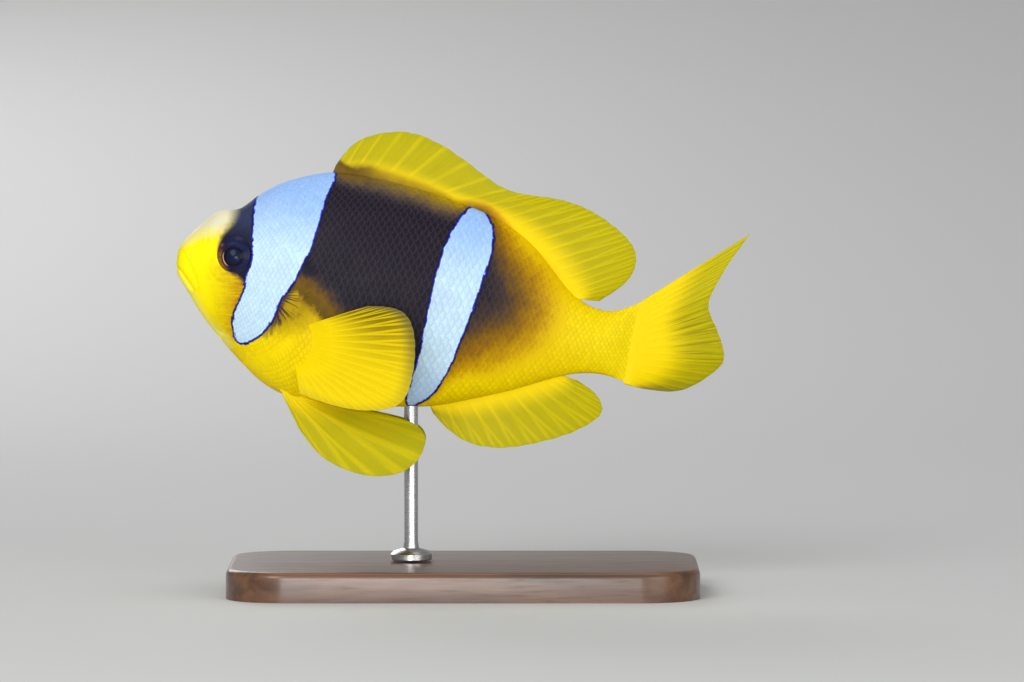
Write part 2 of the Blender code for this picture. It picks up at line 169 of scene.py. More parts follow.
def smoothstep(low, high, value):
    t = np.clip((value - low) / (high - low), 0, 1)
    return t * t * (3 - 2 * t)


def bump(value, width):
    return np.exp(-(value / width) ** 2)


def half_width_at(station):
    """Half the body's width. Past the root of the tail fin the body thins to a sheath over the fin's rays."""
    half = np.maximum(HALF_WIDTH(station)[:, 0], 0) * (1 - 0.48 * smoothstep(0.94, 1.0, station))
    return half - 0.0022 * smoothstep(1.0, SHEATH_END, station)


def edge_at(station, outward):
    """The back (1) or the belly (-1), carried on past the root of the tail fin."""
    past = np.maximum(station - 1, 0)[:, None]
    return OUTLINE(outward * np.minimum(station, 1)) + past * SHEATH_WAY[outward]


def plain_body(station, angle):
    """Points of the body's surface. Angle 0 is the back, a quarter turn the +Y flank, a half turn the
    belly."""
    back, belly = edge_at(station, 1), edge_at(station, -1)
    half = half_width_at(station)
    up, side = np.cos(angle), np.sin(angle)
    level = belly + (back - belly) * WIDEST_LEVEL
    end = np.where(up[:, None] > 0, back, belly)
    median = level + (end - level) * np.abs(up)[:, None]
    taper = np.where(up > 0, BACK_TAPER, BELLY_TAPER)
    width = half * np.sign(side) * np.abs(side) ** taper
    return np.column_stack([median[:, 0], width, median[:, 1]])


def plain_normals(station, angle, step=0.004):
    """Outward unit normals of the body's surface."""
    low, high = np.maximum(station - step, 1e-4), np.minimum(station + step, SHEATH_END)
    along = plain_body(high, angle) - plain_body(low, angle)
    side_step = np.where(np.abs(np.sin(angle)) < 0.03, 0.03, step)
    around = plain_body(station, angle + side_step) - plain_body(station, angle - side_step)
    normal = np.cross(along, around)
    return normal / np.maximum(np.linalg.norm(normal, axis=1), 1e-12)[:, None]


def nearest_on_line(points, line):
    """Signed distance of 2-D points to an open line, positive on its left, and the share along it."""
    start, step = line[:-1], np.diff(line, axis=0)
    square = (step ** 2).sum(1)
    best = np.full(len(points), np.inf)
    signed = np.zeros(len(points))
    share = np.zeros(len(points))
    for i in range(len(start)):
        away = points - start[i]
        t = np.clip(away @ step[i] / square[i], 0, 1)
        gap = away - t[:, None] * step[i]
        distance = np.hypot(gap[:, 0], gap[:, 1])
        nearer = distance < best
        turn = step[i, 0] * away[:, 1] - step[i, 1] * away[:, 0]
        best = np.where(nearer, distance, best)
        signed = np.where(nearer, np.sign(turn) * distance, signed)
        share = np.where(nearer, (i + t) / len(start), share)
    return signed, share


def open_line(points, count=40):
    return smooth_curve(np.linspace(0, 1, len(points)), points)(np.linspace(0, 1, count))


def closed_line(points, count=96):
    """Points along a smooth closed curve, and the same for any further columns."""
    n = len(points)
    wrapped = [points[i % n] for i in range(-4, n + 5)]
    return smooth_curve(np.arange(-4, n + 5), wrapped)(np.linspace(0, n, count + 1))


def inside(points, line):
    """Whether each 2-D point is inside the closed line."""
    odd = np.zeros(len(points), bool)
    for a, b in zip(line[:-1], line[1:]):
        if a[1] == b[1]:
            continue
        crosses = (a[1] > points[:, 1]) != (b[1] > points[:, 1])
        at = a[0] + (points[:, 1] - a[1]) * (b[0] - a[0]) / (b[1] - a[1])
        odd ^= crosses & (points[:, 0] < at)
    return odd


# Lines on the head, from the side: where lips, bones and the gill cover's edge lie.
MOUTH = open_line(shares((-30, -10), (2, -12), (18, -24), (34, -40), (48, -56)))
UPPER_LIP = open_line(shares((-20, 34), (1, 30), (18, 14), (36, -10), (50, -36), (56, -58)))
LOWER_LIP = open_line(shares((-20, -30), (4, -32), (20, -44), (36, -60), (50, -74)))
CHEEK_GROOVE = open_line(shares((70, 10), (78, -10), (96, -22), (118, -24), (140, -14), (154, 4)))
PREOPERCLE = open_line(shares((178, 36), (188, 0), (190, -45), (180, -90), (160, -122), (126, -132),
                              (96, -118)))
GILL_EDGE = open_line(shares((200, 76), (238, 76), (266, 52), (283, 8), (283, -45), (268, -100),
                             (236, -150), (196, -180), (168, -196)))
NOSTRIL_AT = (0.0560, 0.0600)
HEAD_END = 0.34
PECTORAL_BASE = (0.298, -0.130)


def eye_matrix(side):
    """From the unit ball, whose +Y pole faces outwards on the +Y flank, to the eye on one side."""
    along, across, up = EYE_AT
    turn = Matrix.Rotation(math.radians(EYE_TURN * side), 4, "Z")
    turn @= Matrix.Rotation(math.radians(EYE_TILT * side), 4, "X")
    return Matrix.Translation((along, across * side, up)) @ turn @ Matrix.Diagonal((*EYE_RADII, 1.0))


def eye_space(points, side):
    """Points of the fish's own frame in the eye's, where the ball has radius 1."""
    back = np.array(eye_matrix(side).inverted())
    return points @ back[:3, :3].T + back[:3, 3]


EYE_OPENING = 0.79


# Forms along those lines: where each fades out along its line, and its heights (+) and grooves (-) in mm,
# each with how far it lies on the line's left and how wide it is.
LIPS = (
    (MOUTH, 0.88, ((-0.34, 0.0, 0.24), (0.13, 0.75, 0.5), (0.13, -0.75, 0.5))),
    (UPPER_LIP, 0.85, ((-0.10, 0.0, 0.28),)),
    (LOWER_LIP, 0.80, ((-0.12, 0.0, 0.28),)),
)
BONES = (
    (CHEEK_GROOVE, 0.80, ((-0.07, 0.0, 0.3), (0.08, 0.8, 0.7))),
    (PREOPERCLE, 0.85, ((-0.12, 0.0, 0.25),)),
)


def form_heights(place, line, fade, forms):
    """Heights over the flank of the forms along one line, its gap to each place and the share along it."""
    gap, share = nearest_on_line(place, line)
    total = sum(height * MM * bump(gap - aside * MM, width * MM) for height, aside, width in forms)
    return total * (1 - smoothstep(fade, 1.0, share)), gap, share


def head_relief(place):
    """How far the head's skin is raised or sunk: lips, bones, the gill cover's edge and the nostril."""
    lift = sum(form_heights(place, *form)[0] for form in LIPS)
    lift *= smoothstep(-0.003, 0.012, place[:, 0])
    for form in BONES:
        height, gap, share = form_heights(place, *form)
        lift += height * smoothstep(0.0, 0.2, share)
    ends = smoothstep(0.0, 0.2, share) * (1 - smoothstep(0.85, 1.0, share))
    lift -= 0.10 * MM * np.where(gap > 0, bump(gap, 1.2 * MM), 0) * ends

    gap, share = nearest_on_line(place, GILL_EDGE)
    ends = smoothstep(0.02, 0.16, share) * (1 - 0.75 * smoothstep(0.55, 0.90, share))
    behind = smoothstep(0.0, 0.16 * MM, gap)
    lift += 0.14 * MM * (1 - behind) * bump(np.minimum(gap, 0), 3.0 * MM) * ends
    lift -= 0.20 * MM * behind * bump(gap, 1.3 * MM) * ends

    away = np.hypot(*(place - NOSTRIL_AT).T)
    return lift + 0.10 * MM * bump(away - 0.50 * MM, 0.2 * MM) - 0.55 * MM * bump(away, 0.26 * MM)


def relief(points, normals):
    """The skin's points, with the head's forms and the pectoral fin's base moved along the normals."""
    height = np.zeros(len(points))
    near_head = np.flatnonzero(points[:, 0] < HEAD_END)
    height[near_head] = head_relief(points[near_head][:, [0, 2]])
    away = np.hypot((points[:, 0] - PECTORAL_BASE[0]) / 1.3, (points[:, 2] - PECTORAL_BASE[1]) / 2.6)
    height += 0.36 * MM * bump(away, 1.6 * MM)
    moved = points + normals * height[:, None]
    for side in (-1, 1):
        moved = sink_socket(moved, side)
    return moved


def sink_socket(points, side):
    """Skin inside the eye's opening drops under the ball, and a soft rim stands round it."""
    local = eye_space(points, side)
    outward = local[:, 1] * side
    out = np.hypot(local[:, 0], local[:, 2])
    near = (out < 1.35) & (outward > -0.6) & (points[:, 1] * side > 0)
    outward = outward + 0.035 * bump(out - EYE_OPENING - 0.09, 0.07) * near
    ball = np.sqrt(np.clip(1 - out ** 2, 0, 1))
    drop = (1 - smoothstep(EYE_OPENING - 0.055, EYE_OPENING, out)) * near
    local[:, 1] = side * (outward + (np.minimum(ball - 0.12, outward) - outward) * drop)
    forward = np.array(eye_matrix(side))
    return local @ forward[:3, :3].T + forward[:3, 3]


# Markings: closed outlines on the flank, in thousandths of the standard length: along, up and, on a patch,
# how soft its edge is there.
BANDS = {
    "head_band": (
        (144, 190), (144, 160), (148, 110), (156, 60), (158, 30), (154, 5), (154, -20), (149, -52),
        (141, -80), (141, -105), (150, -134), (166, -146), (190, -134), (212, -108), (226, -76), (236, -34),
        (254, -4), (264, 32), (276, 68), (284, 110), (290, 155), (296, 200), (298, 260), (220, 300),
        (140, 250),
    ),
    "body_band": (
        (601, 222), (586, 202), (569, 165), (556, 111), (550, 40), (548, -30), (546, -95), (541, -150),
        (536, -196), (541, -216), (558, -212), (582, -190), (602, -156), (617, -114), (632, -45), (644, 15),
        (653, 75), (661, 130), (659, 172), (648, 202), (625, 222),
    ),
}
PATCHES = {
    "dark": (
        (180, 120, 20), (240, 265, 24), (310, 250, 30), (365, 246, 40), (440, 238, 42), (510, 226, 40),
        (570, 214, 34), (626, 222, 26), (664, 188, 42), (688, 150, 60), (714, 112, 84), (740, 76, 100),
        (754, 40, 106), (744, 2, 108), (710, -30, 106), (672, -56, 104), (632, -86, 84), (594, -132, 52),
        (556, -186, 34), (500, -160, 44), (440, -100, 50), (385, -62, 44), (345, -44, 40), (318, -18, 44),
        (285, 0, 40), (262, 4, 26), (235, 0, 20), (190, 60, 20),
    ),
    "mask": (
        (106, 160, 26), (103, 124, 22), (98, 98, 14), (88, 78, 10), (82.5, 56, 6), (83.5, 36, 4), (92, 18, 4),
        (110, 4, 5), (130, -3, 8), (149, -16, 12), (168, -24, 12), (178, 40, 8), (178, 120, 10),
        (166, 200, 12), (130, 190, 20),
    ),
    "cheek": (
        (108, 10, 22), (114, -26, 30), (120, -70, 26), (130, -118, 18), (152, -140, 12), (176, -110, 12),
        (176, -40, 12), (168, 14, 12),
    ),
    "brow": (
        (-4, 44, 16), (30, 64, 16), (60, 78, 18), (84, 84, 14), (100, 100, 14), (116, 130, 14),
        (114, 170, 14), (50, 160, 10), (-10, 90, 10),
    ),
    "chin": (
        (-8, -10, 8), (8, -26, 10), (38, -55, 11), (60, -81, 13), (94, -117, 13), (140, -151, 12),
        (120, -190, 10), (70, -150, 10), (10, -80, 10), (-40, -20, 10),
    ),
    "gill": (
        (240, -10, 20), (280, -4, 26), (318, -32, 30), (302, -76, 26), (266, -96, 20), (240, -106, 20),
        (222, -90, 12), (230, -50, 10),
    ),
    "strip": (
        (282, 46, 18), (270, 2, 18), (254, -36, 16), (247, -58, 16), (243, -82, 14), (230, -108, 12),
        (208, -128, 10), (180, -110, 10), (205, -50, 10), (235, 30, 10),
    ),
}
BAND_REACH = 3.0


def patch_cover(place, outline):
    """From 0 outside a patch to 1 inside it, over the softness of its nearest edge."""
    line = closed_line(shares(*outline))
    distance, share = nearest_on_line(place, line[:, :2])
    softness = np.interp(share * (len(line) - 1), np.arange(len(line)), line[:, 2])
    signed = np.where(inside(place, line[:, :2]), 1, -1) * np.abs(distance)
    return np.clip(0.5 + 0.5 * signed / softness, 0, 1)


def band_depth(place):
    """How deep each point lies inside the nearer band, in millimetres. Outside it is below 0."""
    depth = np.full(len(place), -np.inf)
    for outline in BANDS.values():
        line = closed_line(shares(*outline), 160)
        distance = np.abs(nearest_on_line(place, line)[0]) / MM
        depth = np.maximum(depth, np.where(inside(place, line), distance, -distance))
    return depth


def markings(place):
    """Every marking's value at these places on the flank, by attribute name."""
    found = {name: patch_cover(place, outline) for name, outline in PATCHES.items()}
    found["band"] = np.clip(band_depth(place), -BAND_REACH, BAND_REACH)
    found["along"], found["up"] = place[:, 0], place[:, 1]
    return found


class Shell:
    """Points in the fish's own shares, blocks of faces with the place of each corner on the map, and values
    for each point."""

    def __init__(self, points, faces, maps, **values):
        self.points = points
        self.faces = faces
        self.maps = maps
        self.values = values


def grid_faces(rows, columns, closed=False):
    """The quads of a grid of points, row by row."""
    i, j = np.meshgrid(np.arange(rows - 1), np.arange(columns if closed else columns - 1), indexing="ij")
    k = (j + 1) % columns
    quads = np.stack([i * columns + j, i * columns + k, (i + 1) * columns + k, (i + 1) * columns + j], -1)
    return quads.reshape(-1, 4)


def add_object(name, data):
    obj = bpy.data.objects.new(name, data)
    bpy.context.scene.collection.objects.link(obj)
    return obj


def add_piece(name, mesh, material, slot, *nodes):
    """The mesh as a visible piece, in the place of these nodes of the solids."""
    mesh.materials.append(material)
    obj = add_object(name, mesh)
    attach(obj, "root")
    if nodes:
        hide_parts(*nodes)


def mesh_of(name, bm):
    mesh = bpy.data.meshes.new(name)
    bm.to_mesh(mesh)
    bm.free()
    mesh.shade_smooth()
    return mesh


def add_attributes(mesh, values):
    for name, value in values.items():
        data = mesh.attributes.new(name, "FLOAT", "POINT").data
        data.foreach_set("value", value.astype(np.float32))


# Each point's values where a shell says nothing else.
DEFAULTS = dict.fromkeys((*PATCHES, "up", "fin", "ray", "reach", "margin", "branch", "pore"), 0.0)
DEFAULTS.update(band=-BAND_REACH, along=0.5, plate=0.5, tone=0.5)
SHARP_ANGLE = 48


def shell_mesh(name, shells):
    """One mesh of several shells, with their values as attributes and their map as OFBake."""
    points = to_metres(np.concatenate([shell.points for shell in shells]))
    starts = np.cumsum([0] + [len(shell.points) for shell in shells])
    blocks = [faces + start for shell, start in zip(shells, starts) for faces in shell.faces]
    mesh = bpy.data.meshes.new(name)
    corners = np.concatenate([block.ravel() for block in blocks])
    sizes = np.concatenate([np.full(len(block), block.shape[1]) for block in blocks])
    mesh.vertices.add(len(points))
    mesh.vertices.foreach_set("co", points.astype(np.float32).ravel())
    mesh.loops.add(len(corners))
    mesh.loops.foreach_set("vertex_index", corners.astype(np.int32))
    mesh.polygons.add(len(sizes))
    mesh.polygons.foreach_set("loop_start", np.concatenate([[0], np.cumsum(sizes)[:-1]]).astype(np.int32))
    mesh.update(calc_edges=True)
    uv = np.concatenate([block.reshape(-1, 2) for shell in shells for block in shell.maps])
    mesh.uv_layers.new(name="OFBake").uv.foreach_set("vector", uv.astype(np.float32).ravel())
    add_attributes(mesh, {key: np.concatenate([shell.values.get(key, np.full(len(shell.points), default))
                                               for shell in shells]) for key, default in DEFAULTS.items()})
    mesh.shade_smooth()
    mesh.set_sharp_from_angle(angle=math.radians(SHARP_ANGLE))
    return mesh


def skin_surface(station, angle):
    """The finished skin at these places, inside the solids by the coat's depth. It thins out over the tail
    fin."""
    normals = plain_normals(station, angle)
    depth = COAT_DEPTH * (1 - 0.6 * smoothstep(0.94, 1.0, station))
    points = plain_body(station, angle)
    points = relief(points - normals * depth[:, None], normals)
    ending = smoothstep(0.970, 1.010, station)
    points[:, 1] *= 1 - 0.88 * ending
    points[:, 2] -= 0.04 * ending * (points[:, 2] + 0.004)
    return points, normals


def body_shell():
    """The whole body: rings from the snout to the sheath over the root of the tail fin."""
    head = HEAD_STATION * np.linspace(0, 1, HEAD_RINGS + 1)[1:] ** 1.25
    rest = np.linspace(HEAD_STATION, SHEATH_END, BODY_RINGS + 1)[1:]
    stations = np.concatenate([head, rest])
    turn = np.linspace(0, 2 * math.pi, RING_POINTS, endpoint=False)
    angles = turn - 0.16 * np.sin(2 * turn)
    station, angle = (grid.ravel() for grid in np.meshgrid(stations, angles, indexing="ij"))
    points, _ = skin_surface(station, angle)
    rings, columns = len(stations), RING_POINTS
    quads = grid_faces(rings, columns, closed=True)[:, ::-1]
    ring = np.arange(columns)
    nose = np.column_stack([np.full(columns, rings * columns), (ring + 1) % columns, ring])[:, ::-1]
    tail = (rings - 1) * columns + ring[None, :]
    points = np.concatenate([points, points[:columns].mean(0, keepdims=True) - [[0.0004, 0, 0]]])
    uv = np.column_stack([0.02 + 0.93 * station / SHEATH_END, 0.01 + 0.98 * angle / (2 * math.pi)])
    uv = np.concatenate([uv, [[0.01, 0.5]]])
    maps = [uv[quads], uv[nose]]
    for block in maps:
        block[..., 1] += 0.98 * (block[..., 1] < block[..., 1].max(1, keepdims=True) - 0.49)
    maps[1][:, 2, 1] = maps[1][:, :2, 1].mean(1)
    cap = np.stack([0.975 + 0.012 * np.cos(angles), 0.5 + 0.012 * np.sin(angles)], -1)[None]
    return Shell(points, [quads, nose, tail], [*maps, cap], **markings(points[:, [0, 2]]))


def fin_lines(roots, tips):
    return [smooth_curve(np.linspace(0, 1, len(points)), points) for points in (roots, tips)]


def half_thickness(look, off, split, reach, length):
    """Half the fin's thickness, thicker at the body, with a ridge on each ray and on its branches."""
    up = np.clip(reach, 0, 1)
    ridge = np.maximum(bump(off - split, 0.13), bump(off + split, 0.13))
    thick = look["edge"] + (look["root"] - look["edge"]) * (1 - up) ** 1.5
    thick += look["fillet"] * np.exp(-up * length / MM / 0.8)
    thick += look["ridge"] * ridge * (1 - 0.7 * up) * smoothstep(0, look["fade"], up)
    return np.where(reach < 0, thick * 0.8, thick) * MM / 2


def sheet_faces(shape):
    """Both sides of a sheet of points, the far side numbered after the near one, and the wall round them."""
    total = shape[0] * shape[1]
    near = grid_faces(*shape)
    rim = rim_of(np.arange(total).reshape(shape))
    next_one = np.roll(rim, -1)
    return near, near[:, ::-1] + total, np.column_stack([next_one, rim, rim + total, next_one + total])


def fin_shell(roots, tips, side_of, look, tile):
    """A thin fin with its rays as low ridges. look says how it is made."""
    root_line, tip_line = fin_lines(roots, tips)
    spines, rays, share = look["spines"], look["rays"], look["spiny"]
    intervals = spines + rays - 1
    columns = intervals * look["samples"] + 1
    phase = np.linspace(0, intervals, columns)
    across = np.where(phase < spines, share * phase / max(spines, 1),
                      share + (1 - share) * (phase - spines) / max(rays - 1, 1))
    along = np.concatenate([[-1.0, -0.5], np.linspace(0, 1, look["rows"]) ** 1.1])
    shape = (columns, len(along))
    total = columns * len(along)
    a, b = (grid.ravel() for grid in np.meshgrid(across, along, indexing="ij"))
    phase = np.repeat(phase, len(along))
    root, tip = root_line(a), tip_line(a)
    length = np.hypot(*(tip - root).T)
    millimetre = MM / np.maximum(length, 1e-3)
    off = phase - np.round(phase)
    scalloped = 1 - look["scallop"] * millimetre * (2 * off) ** 2
    reach = b * np.where(b >= 0, scalloped, look["sunk"] * millimetre)
    flat = root + (tip - root) * reach[:, None]
    centre = np.column_stack([flat[:, 0], side_of(a, reach, root, flat, length), flat[:, 1]])
    grid = centre.reshape(*shape, 3)
    normal = np.cross(np.gradient(grid, axis=0), np.gradient(grid, axis=1)).reshape(-1, 3)
    normal /= np.maximum(np.linalg.norm(normal, axis=1), 1e-12)[:, None]
    if normal[:, 1].sum() < 0:
        normal = -normal

    up = np.clip(reach, 0, 1)
    split = np.where(phase >= spines - 0.5, 0.23 * smoothstep(look["fork"], 1.0, up), 0)
    rim = np.minimum(np.minimum(a, 1 - a) * columns / 2.0, (1 - b) * len(along) / 1.6)
    thick = half_thickness(look, off, split, reach, length) * (0.25 + 0.75 * np.clip(rim, 0, 1))
    near, far = centre + normal * thick[:, None], centre - normal * thick[:, None]
    faces = sheet_faces(shape)
    first, right, _, below = faces[0][0]
    if np.cross(near[right] - near[first], near[below] - near[first]) @ normal[first] < 0:
        faces = [block[:, ::-1] for block in faces]

    uv = 0.04 + 0.92 * np.column_stack([a, (b + 1) / 2])
    both = np.concatenate([uv, uv + [0, 1.0]])
    edge = np.concatenate([uv, 0.5 + 1.05 * (uv - 0.5)])
    maps = [tile[:2] + np.array(tile[2:]) * places[block] for places, block in zip((both, both, edge), faces)]
    values = markings(flat)
    if not look["marked"]:
        values.update({name: np.zeros(total) for name in PATCHES})
    values.update(band=np.full(total, -BAND_REACH), ray=phase, reach=up, branch=split,
                  fin=np.full(total, look["kind"]),
                  margin=smoothstep(0.0, 1.0, 1 - (1 - up) * length / (look["rim"] * MM)))
    values = {key: np.tile(value, 2) for key, value in values.items()}
    return Shell(np.concatenate([near, far]), faces, maps, **values)


def along_outline(roots, outward):
    stations = np.linspace(0.2, 1.0, 400) * outward
    line = OUTLINE(stations)
    return [(along, float(np.interp(along, line[:, 0], line[:, 1]))) for along in roots]


def wave(size, turns):
    return lambda a, b, root, at, length: size * np.clip(b, 0, 1) ** 2 * np.sin(math.pi * turns * a)


def cut_at(along, up):
    """The back, the belly and the half width of the cross-section through this place."""
    station = along
    for _ in range(6):
        back, belly = OUTLINE(station)[0], OUTLINE(-station)[0]
        share = (up - belly[1]) / (back[1] - belly[1])
        station += along - (belly[0] + (back[0] - belly[0]) * share)
    return back[1], belly[1], float(HALF_WIDTH(station)[0, 0])


def flank_at(along, up):
    back, belly, half = cut_at(along, up)
    level = belly + (back - belly) * WIDEST_LEVEL
    share = min(1.0, (level - up) / (level - belly))
    return half * math.sqrt(1 - share * share) ** BELLY_TAPER


def belly_at(along, side):
    back, belly, half = cut_at(along, -0.22)
    level = belly + (back - belly) * WIDEST_LEVEL
    return level - (level - belly) * math.sqrt(1 - (side / half) ** (2 / BELLY_TAPER))


# How each fin is made: its spines and soft rays and the share of the fin that the spines take, points for
# each ray and across, then in mm its thickness at the root and the edge, the rays' ridges, the thickening
# at the body, the scalloped edge, how deep it is sunk in the body and its pale rim, where rays fork and
# ridges fade in, its kind for the shader, and whether it carries the body's markings.
PLAIN_FIN = {"spines": 0, "spiny": 0.0, "samples": 10, "rows": 22, "edge": 0.14, "fillet": 0.45,
             "scallop": 0.14, "sunk": 2.2, "rim": 1.2, "kind": 1.0, "marked": False}
FIN_LOOK = {
    "dorsal": {"spines": 10, "rays": 16, "spiny": 0.5, "rows": 26, "root": 0.60, "ridge": 0.18, "fork": 0.25,
               "fade": 0.16, "marked": True},
    "anal": {"spines": 2, "rays": 14, "spiny": 0.10, "root": 0.60, "ridge": 0.20, "fork": 0.3, "fade": 0.18,
             "marked": True},
    "caudal": {"rays": 17, "samples": 12, "rows": 30, "root": 0.66, "edge": 0.12, "ridge": 0.18,
               "fillet": 0.20, "scallop": 0.08, "sunk": 1.0, "fork": 0.18, "fade": 0.50, "rim": 1.5,
               "kind": 3.0},
    "pectoral": {"rays": 19, "rows": 28, "root": 0.62, "edge": 0.10, "ridge": 0.12, "fillet": 0.1,
                 "scallop": 0.10, "sunk": 1.8, "fork": 0.35, "fade": 0.40, "rim": 3.2, "kind": 2.0},
    "pelvic": {"spines": 1, "rays": 5, "spiny": 0.12, "samples": 20, "root": 0.66, "ridge": 0.22,
               "fillet": 0.6, "scallop": 0.2, "sunk": 2.0, "fork": 0.15, "fade": 0.12},
}


def crown(a, b):
    """The slight bulge of a paired fin."""
    return 0.010 * np.clip(b, 0, 1) * np.sin(math.pi * a)


def fin_shells():
    """Every fin, each with its own tile of the fins' map."""
    shells = []

    def add(kind, roots, tips, side_of):
        tile = (0.01 + 0.14 * len(shells), 0.02, 0.13, 0.48)
        shells.append(fin_shell(roots, tips, side_of, {**PLAIN_FIN, **FIN_LOOK[kind]}, tile))

    def curl(a, b, root, at, length):
        lift = np.clip(b, 0, 1) ** 1.6 * np.maximum(0.0, a - 0.3) ** 1.5
        return CAUDAL_CURL * lift / 0.7 ** 1.5 * (1 - 0.35 * a)

    add("dorsal", along_outline(DORSAL_ROOTS, 1), DORSAL_TIPS, wave(0.012, 2.6))
    add("anal", along_outline(ANAL_ROOTS, -1), ANAL_TIPS, wave(-0.010, 2.2))
    add("caudal", CAUDAL_ROOTS, CAUDAL_TIPS, curl)
    pelvic_roots = [(along, belly_at(along, PELVIC_SIDE)) for along in PELVIC_ROOTS]
    root_line, _ = fin_lines(PECTORAL_ROOTS, PECTORAL_TIPS)
    where = np.linspace(0, 1, 30)
    flanks = np.array([flank_at(*root_line(a)[0]) for a in where])
    for side, word in SIDES:
        spread = math.tan(math.radians(PECTORAL_SPREADS[word]))
        tilt = math.tan(math.radians(PELVIC_SPREADS[word]))

        def pectoral_side(a, b, root, at, length, side=side, spread=spread):
            away = np.where(b >= 0, spread, 0.75) * b * length
            stand_off = (1.0 * smoothstep(0.0, 0.24, b) - 0.5) * MM
            return side * (np.interp(a, where, flanks) + stand_off + away + crown(a, b))

        def pelvic_side(a, b, root, at, length, side=side, tilt=tilt):
            return side * (PELVIC_SIDE + tilt * np.maximum(root[:, 1] - at[:, 1], 0) + crown(a, b))

        add("pectoral", PECTORAL_ROOTS, PECTORAL_TIPS, pectoral_side)
        add("pelvic", pelvic_roots, PELVIC_TIPS, pelvic_side)
    return shells


# Scales, in millimetres: how far apart columns and rows are, by the distance from the snout.
SCALE_KNOTS = (0, 10, 18, 28, 40, 65, 80, 92, 104)
SCALE_COLUMN = smooth_curve(SCALE_KNOTS, (0.30, 0.33, 0.42, 0.58, 0.68, 0.68, 0.58, 0.46, 0.34))
SCALE_ROW = smooth_curve(SCALE_KNOTS, (0.52, 0.58, 0.78, 1.15, 1.40, 1.36, 1.05, 0.80, 0.70))
SCALE_GRID = 8
LATERAL_LINE = open_line(shares((284, 120), (350, 162), (430, 172), (510, 152), (590, 112), (665, 96),
                                (740, 78), (800, 50)), 90)
SCALE_LIFT = 0.11
SCALE_CLEAR = 0.018
SCALE_PATCH = 0.0028
SCALE_PIECES = 4
FIRST_COLUMN = 6.0
LAST_SCALES = 0.992
SCALE_ROWS = 40
ROW_CROWDING = 0.010
# How far rows may go on over the back or the belly, as a share of the flank's height.
FOLD_END = 1.12


def lattice_tables():
    """Arc lengths over the flank: distance along from the snout by station, and the angle at each height,
    measured over the skin from the widest line, up (+) and down (-)."""
    stations = np.linspace(0.01, SHEATH_END, 260)
    mid = plain_body(stations, np.full(260, math.pi / 2))
    distance = np.concatenate([[0], np.cumsum(np.linalg.norm(np.diff(mid, axis=0), axis=1))]) / MM
    distance += 1.0
    heights = np.linspace(-1, 1, 161)
    angles = np.empty((260, 161))
    reach = np.empty((260, 2))
    fine = np.linspace(0, math.pi, 241)
    for i, station in enumerate(stations):
        ring = plain_body(np.full(241, station), fine)
        arc = np.concatenate([[0], np.cumsum(np.linalg.norm(np.diff(ring, axis=0), axis=1))]) / MM
        middle = np.interp(math.pi / 2, fine, arc)
        reach[i] = middle, arc[-1] - middle
        height = np.where(arc < middle, (middle - arc) / middle, (middle - arc) / (arc[-1] - middle))
        angles[i] = np.interp(heights, height[::-1], fine[::-1])
    return stations, distance, heights, angles, reach


STATION_OF, DISTANCE, HEIGHTS, ANGLES, REACH = lattice_tables()


def on_flank(x, t):
    """Station and angle on the +Y flank at a distance from the snout and a height over the skin, both in
    mm."""
    station = np.interp(x, DISTANCE, STATION_OF)
    up, down = (np.interp(station, STATION_OF, REACH[:, i]) for i in (0, 1))
    height = np.clip(t / np.where(t > 0, up, down), -FOLD_END, FOLD_END)
    over = np.abs(height) > 1
    folded = np.where(over, np.sign(height) * 2 - height, height)
    i = np.clip(np.searchsorted(STATION_OF, station) - 1, 0, len(STATION_OF) - 2)
    share = (station - STATION_OF[i]) / (STATION_OF[i + 1] - STATION_OF[i])
    place = (folded + 1) / 2 * (len(HEIGHTS) - 1)
    j = np.clip(place.astype(int), 0, len(HEIGHTS) - 2)
    part = place - j
    low = ANGLES[i, j] * (1 - part) + ANGLES[i, j + 1] * part
    high = ANGLES[i + 1, j] * (1 - part) + ANGLES[i + 1, j + 1] * part
    angle = low * (1 - share) + high * share
    return station, np.where(over & (height > 0), -angle, np.where(over, 2 * math.pi - angle, angle))


def row_height(x, k):
    """Height of row k at a distance x. Rows are closest at the back and the belly."""
    return SCALE_ROW(x)[:, 0] * k * (1 - ROW_CROWDING * np.abs(k))


def scale_roots(rng):
    """Where the scales sit, on a staggered lattice: distance, row, how far along is one column, and how
    much of its full height each one has."""
    x = [FIRST_COLUMN]
    while x[-1] < DISTANCE[-1] - 0.3:
        x.append(x[-1] + float(SCALE_COLUMN(x[-1])[0, 0]))
    i, k = np.meshgrid(np.arange(len(x)), np.arange(-SCALE_ROWS, SCALE_ROWS + 1), indexing="ij")
    staggered = (i + k) % 2 == 0
    x, k = np.array(x)[i[staggered]], k[staggered]
    column, row = SCALE_COLUMN(x)[:, 0], SCALE_ROW(x)[:, 0] * (1 - 2 * ROW_CROWDING * np.abs(k))
    x = x + rng.uniform(-0.08, 0.08, len(x)) * column
    k = k + rng.uniform(-0.04, 0.04, len(k))
    station, angle = on_flank(x, row_height(x, k))
    grown_share = bareness(plain_body(station, angle))
    up, down = (np.interp(station, STATION_OF, REACH[:, i]) for i in (0, 1))
    keep = np.abs(row_height(x, k)) < np.where(k > 0, up, down) + 0.3 * row
    keep &= (grown_share > 0.02) & (row > 0.2) & (station < LAST_SCALES)
    return x[keep], k[keep], column[keep], grown_share[keep]


NAKED = closed_line(shares((-50, -160), (110, -165), (100, -120), (88, -85), (78, -50), (72, -20),
                           (70, 20), (72, 60), (82, 92), (104, 110), (110, 145), (-50, 160)))


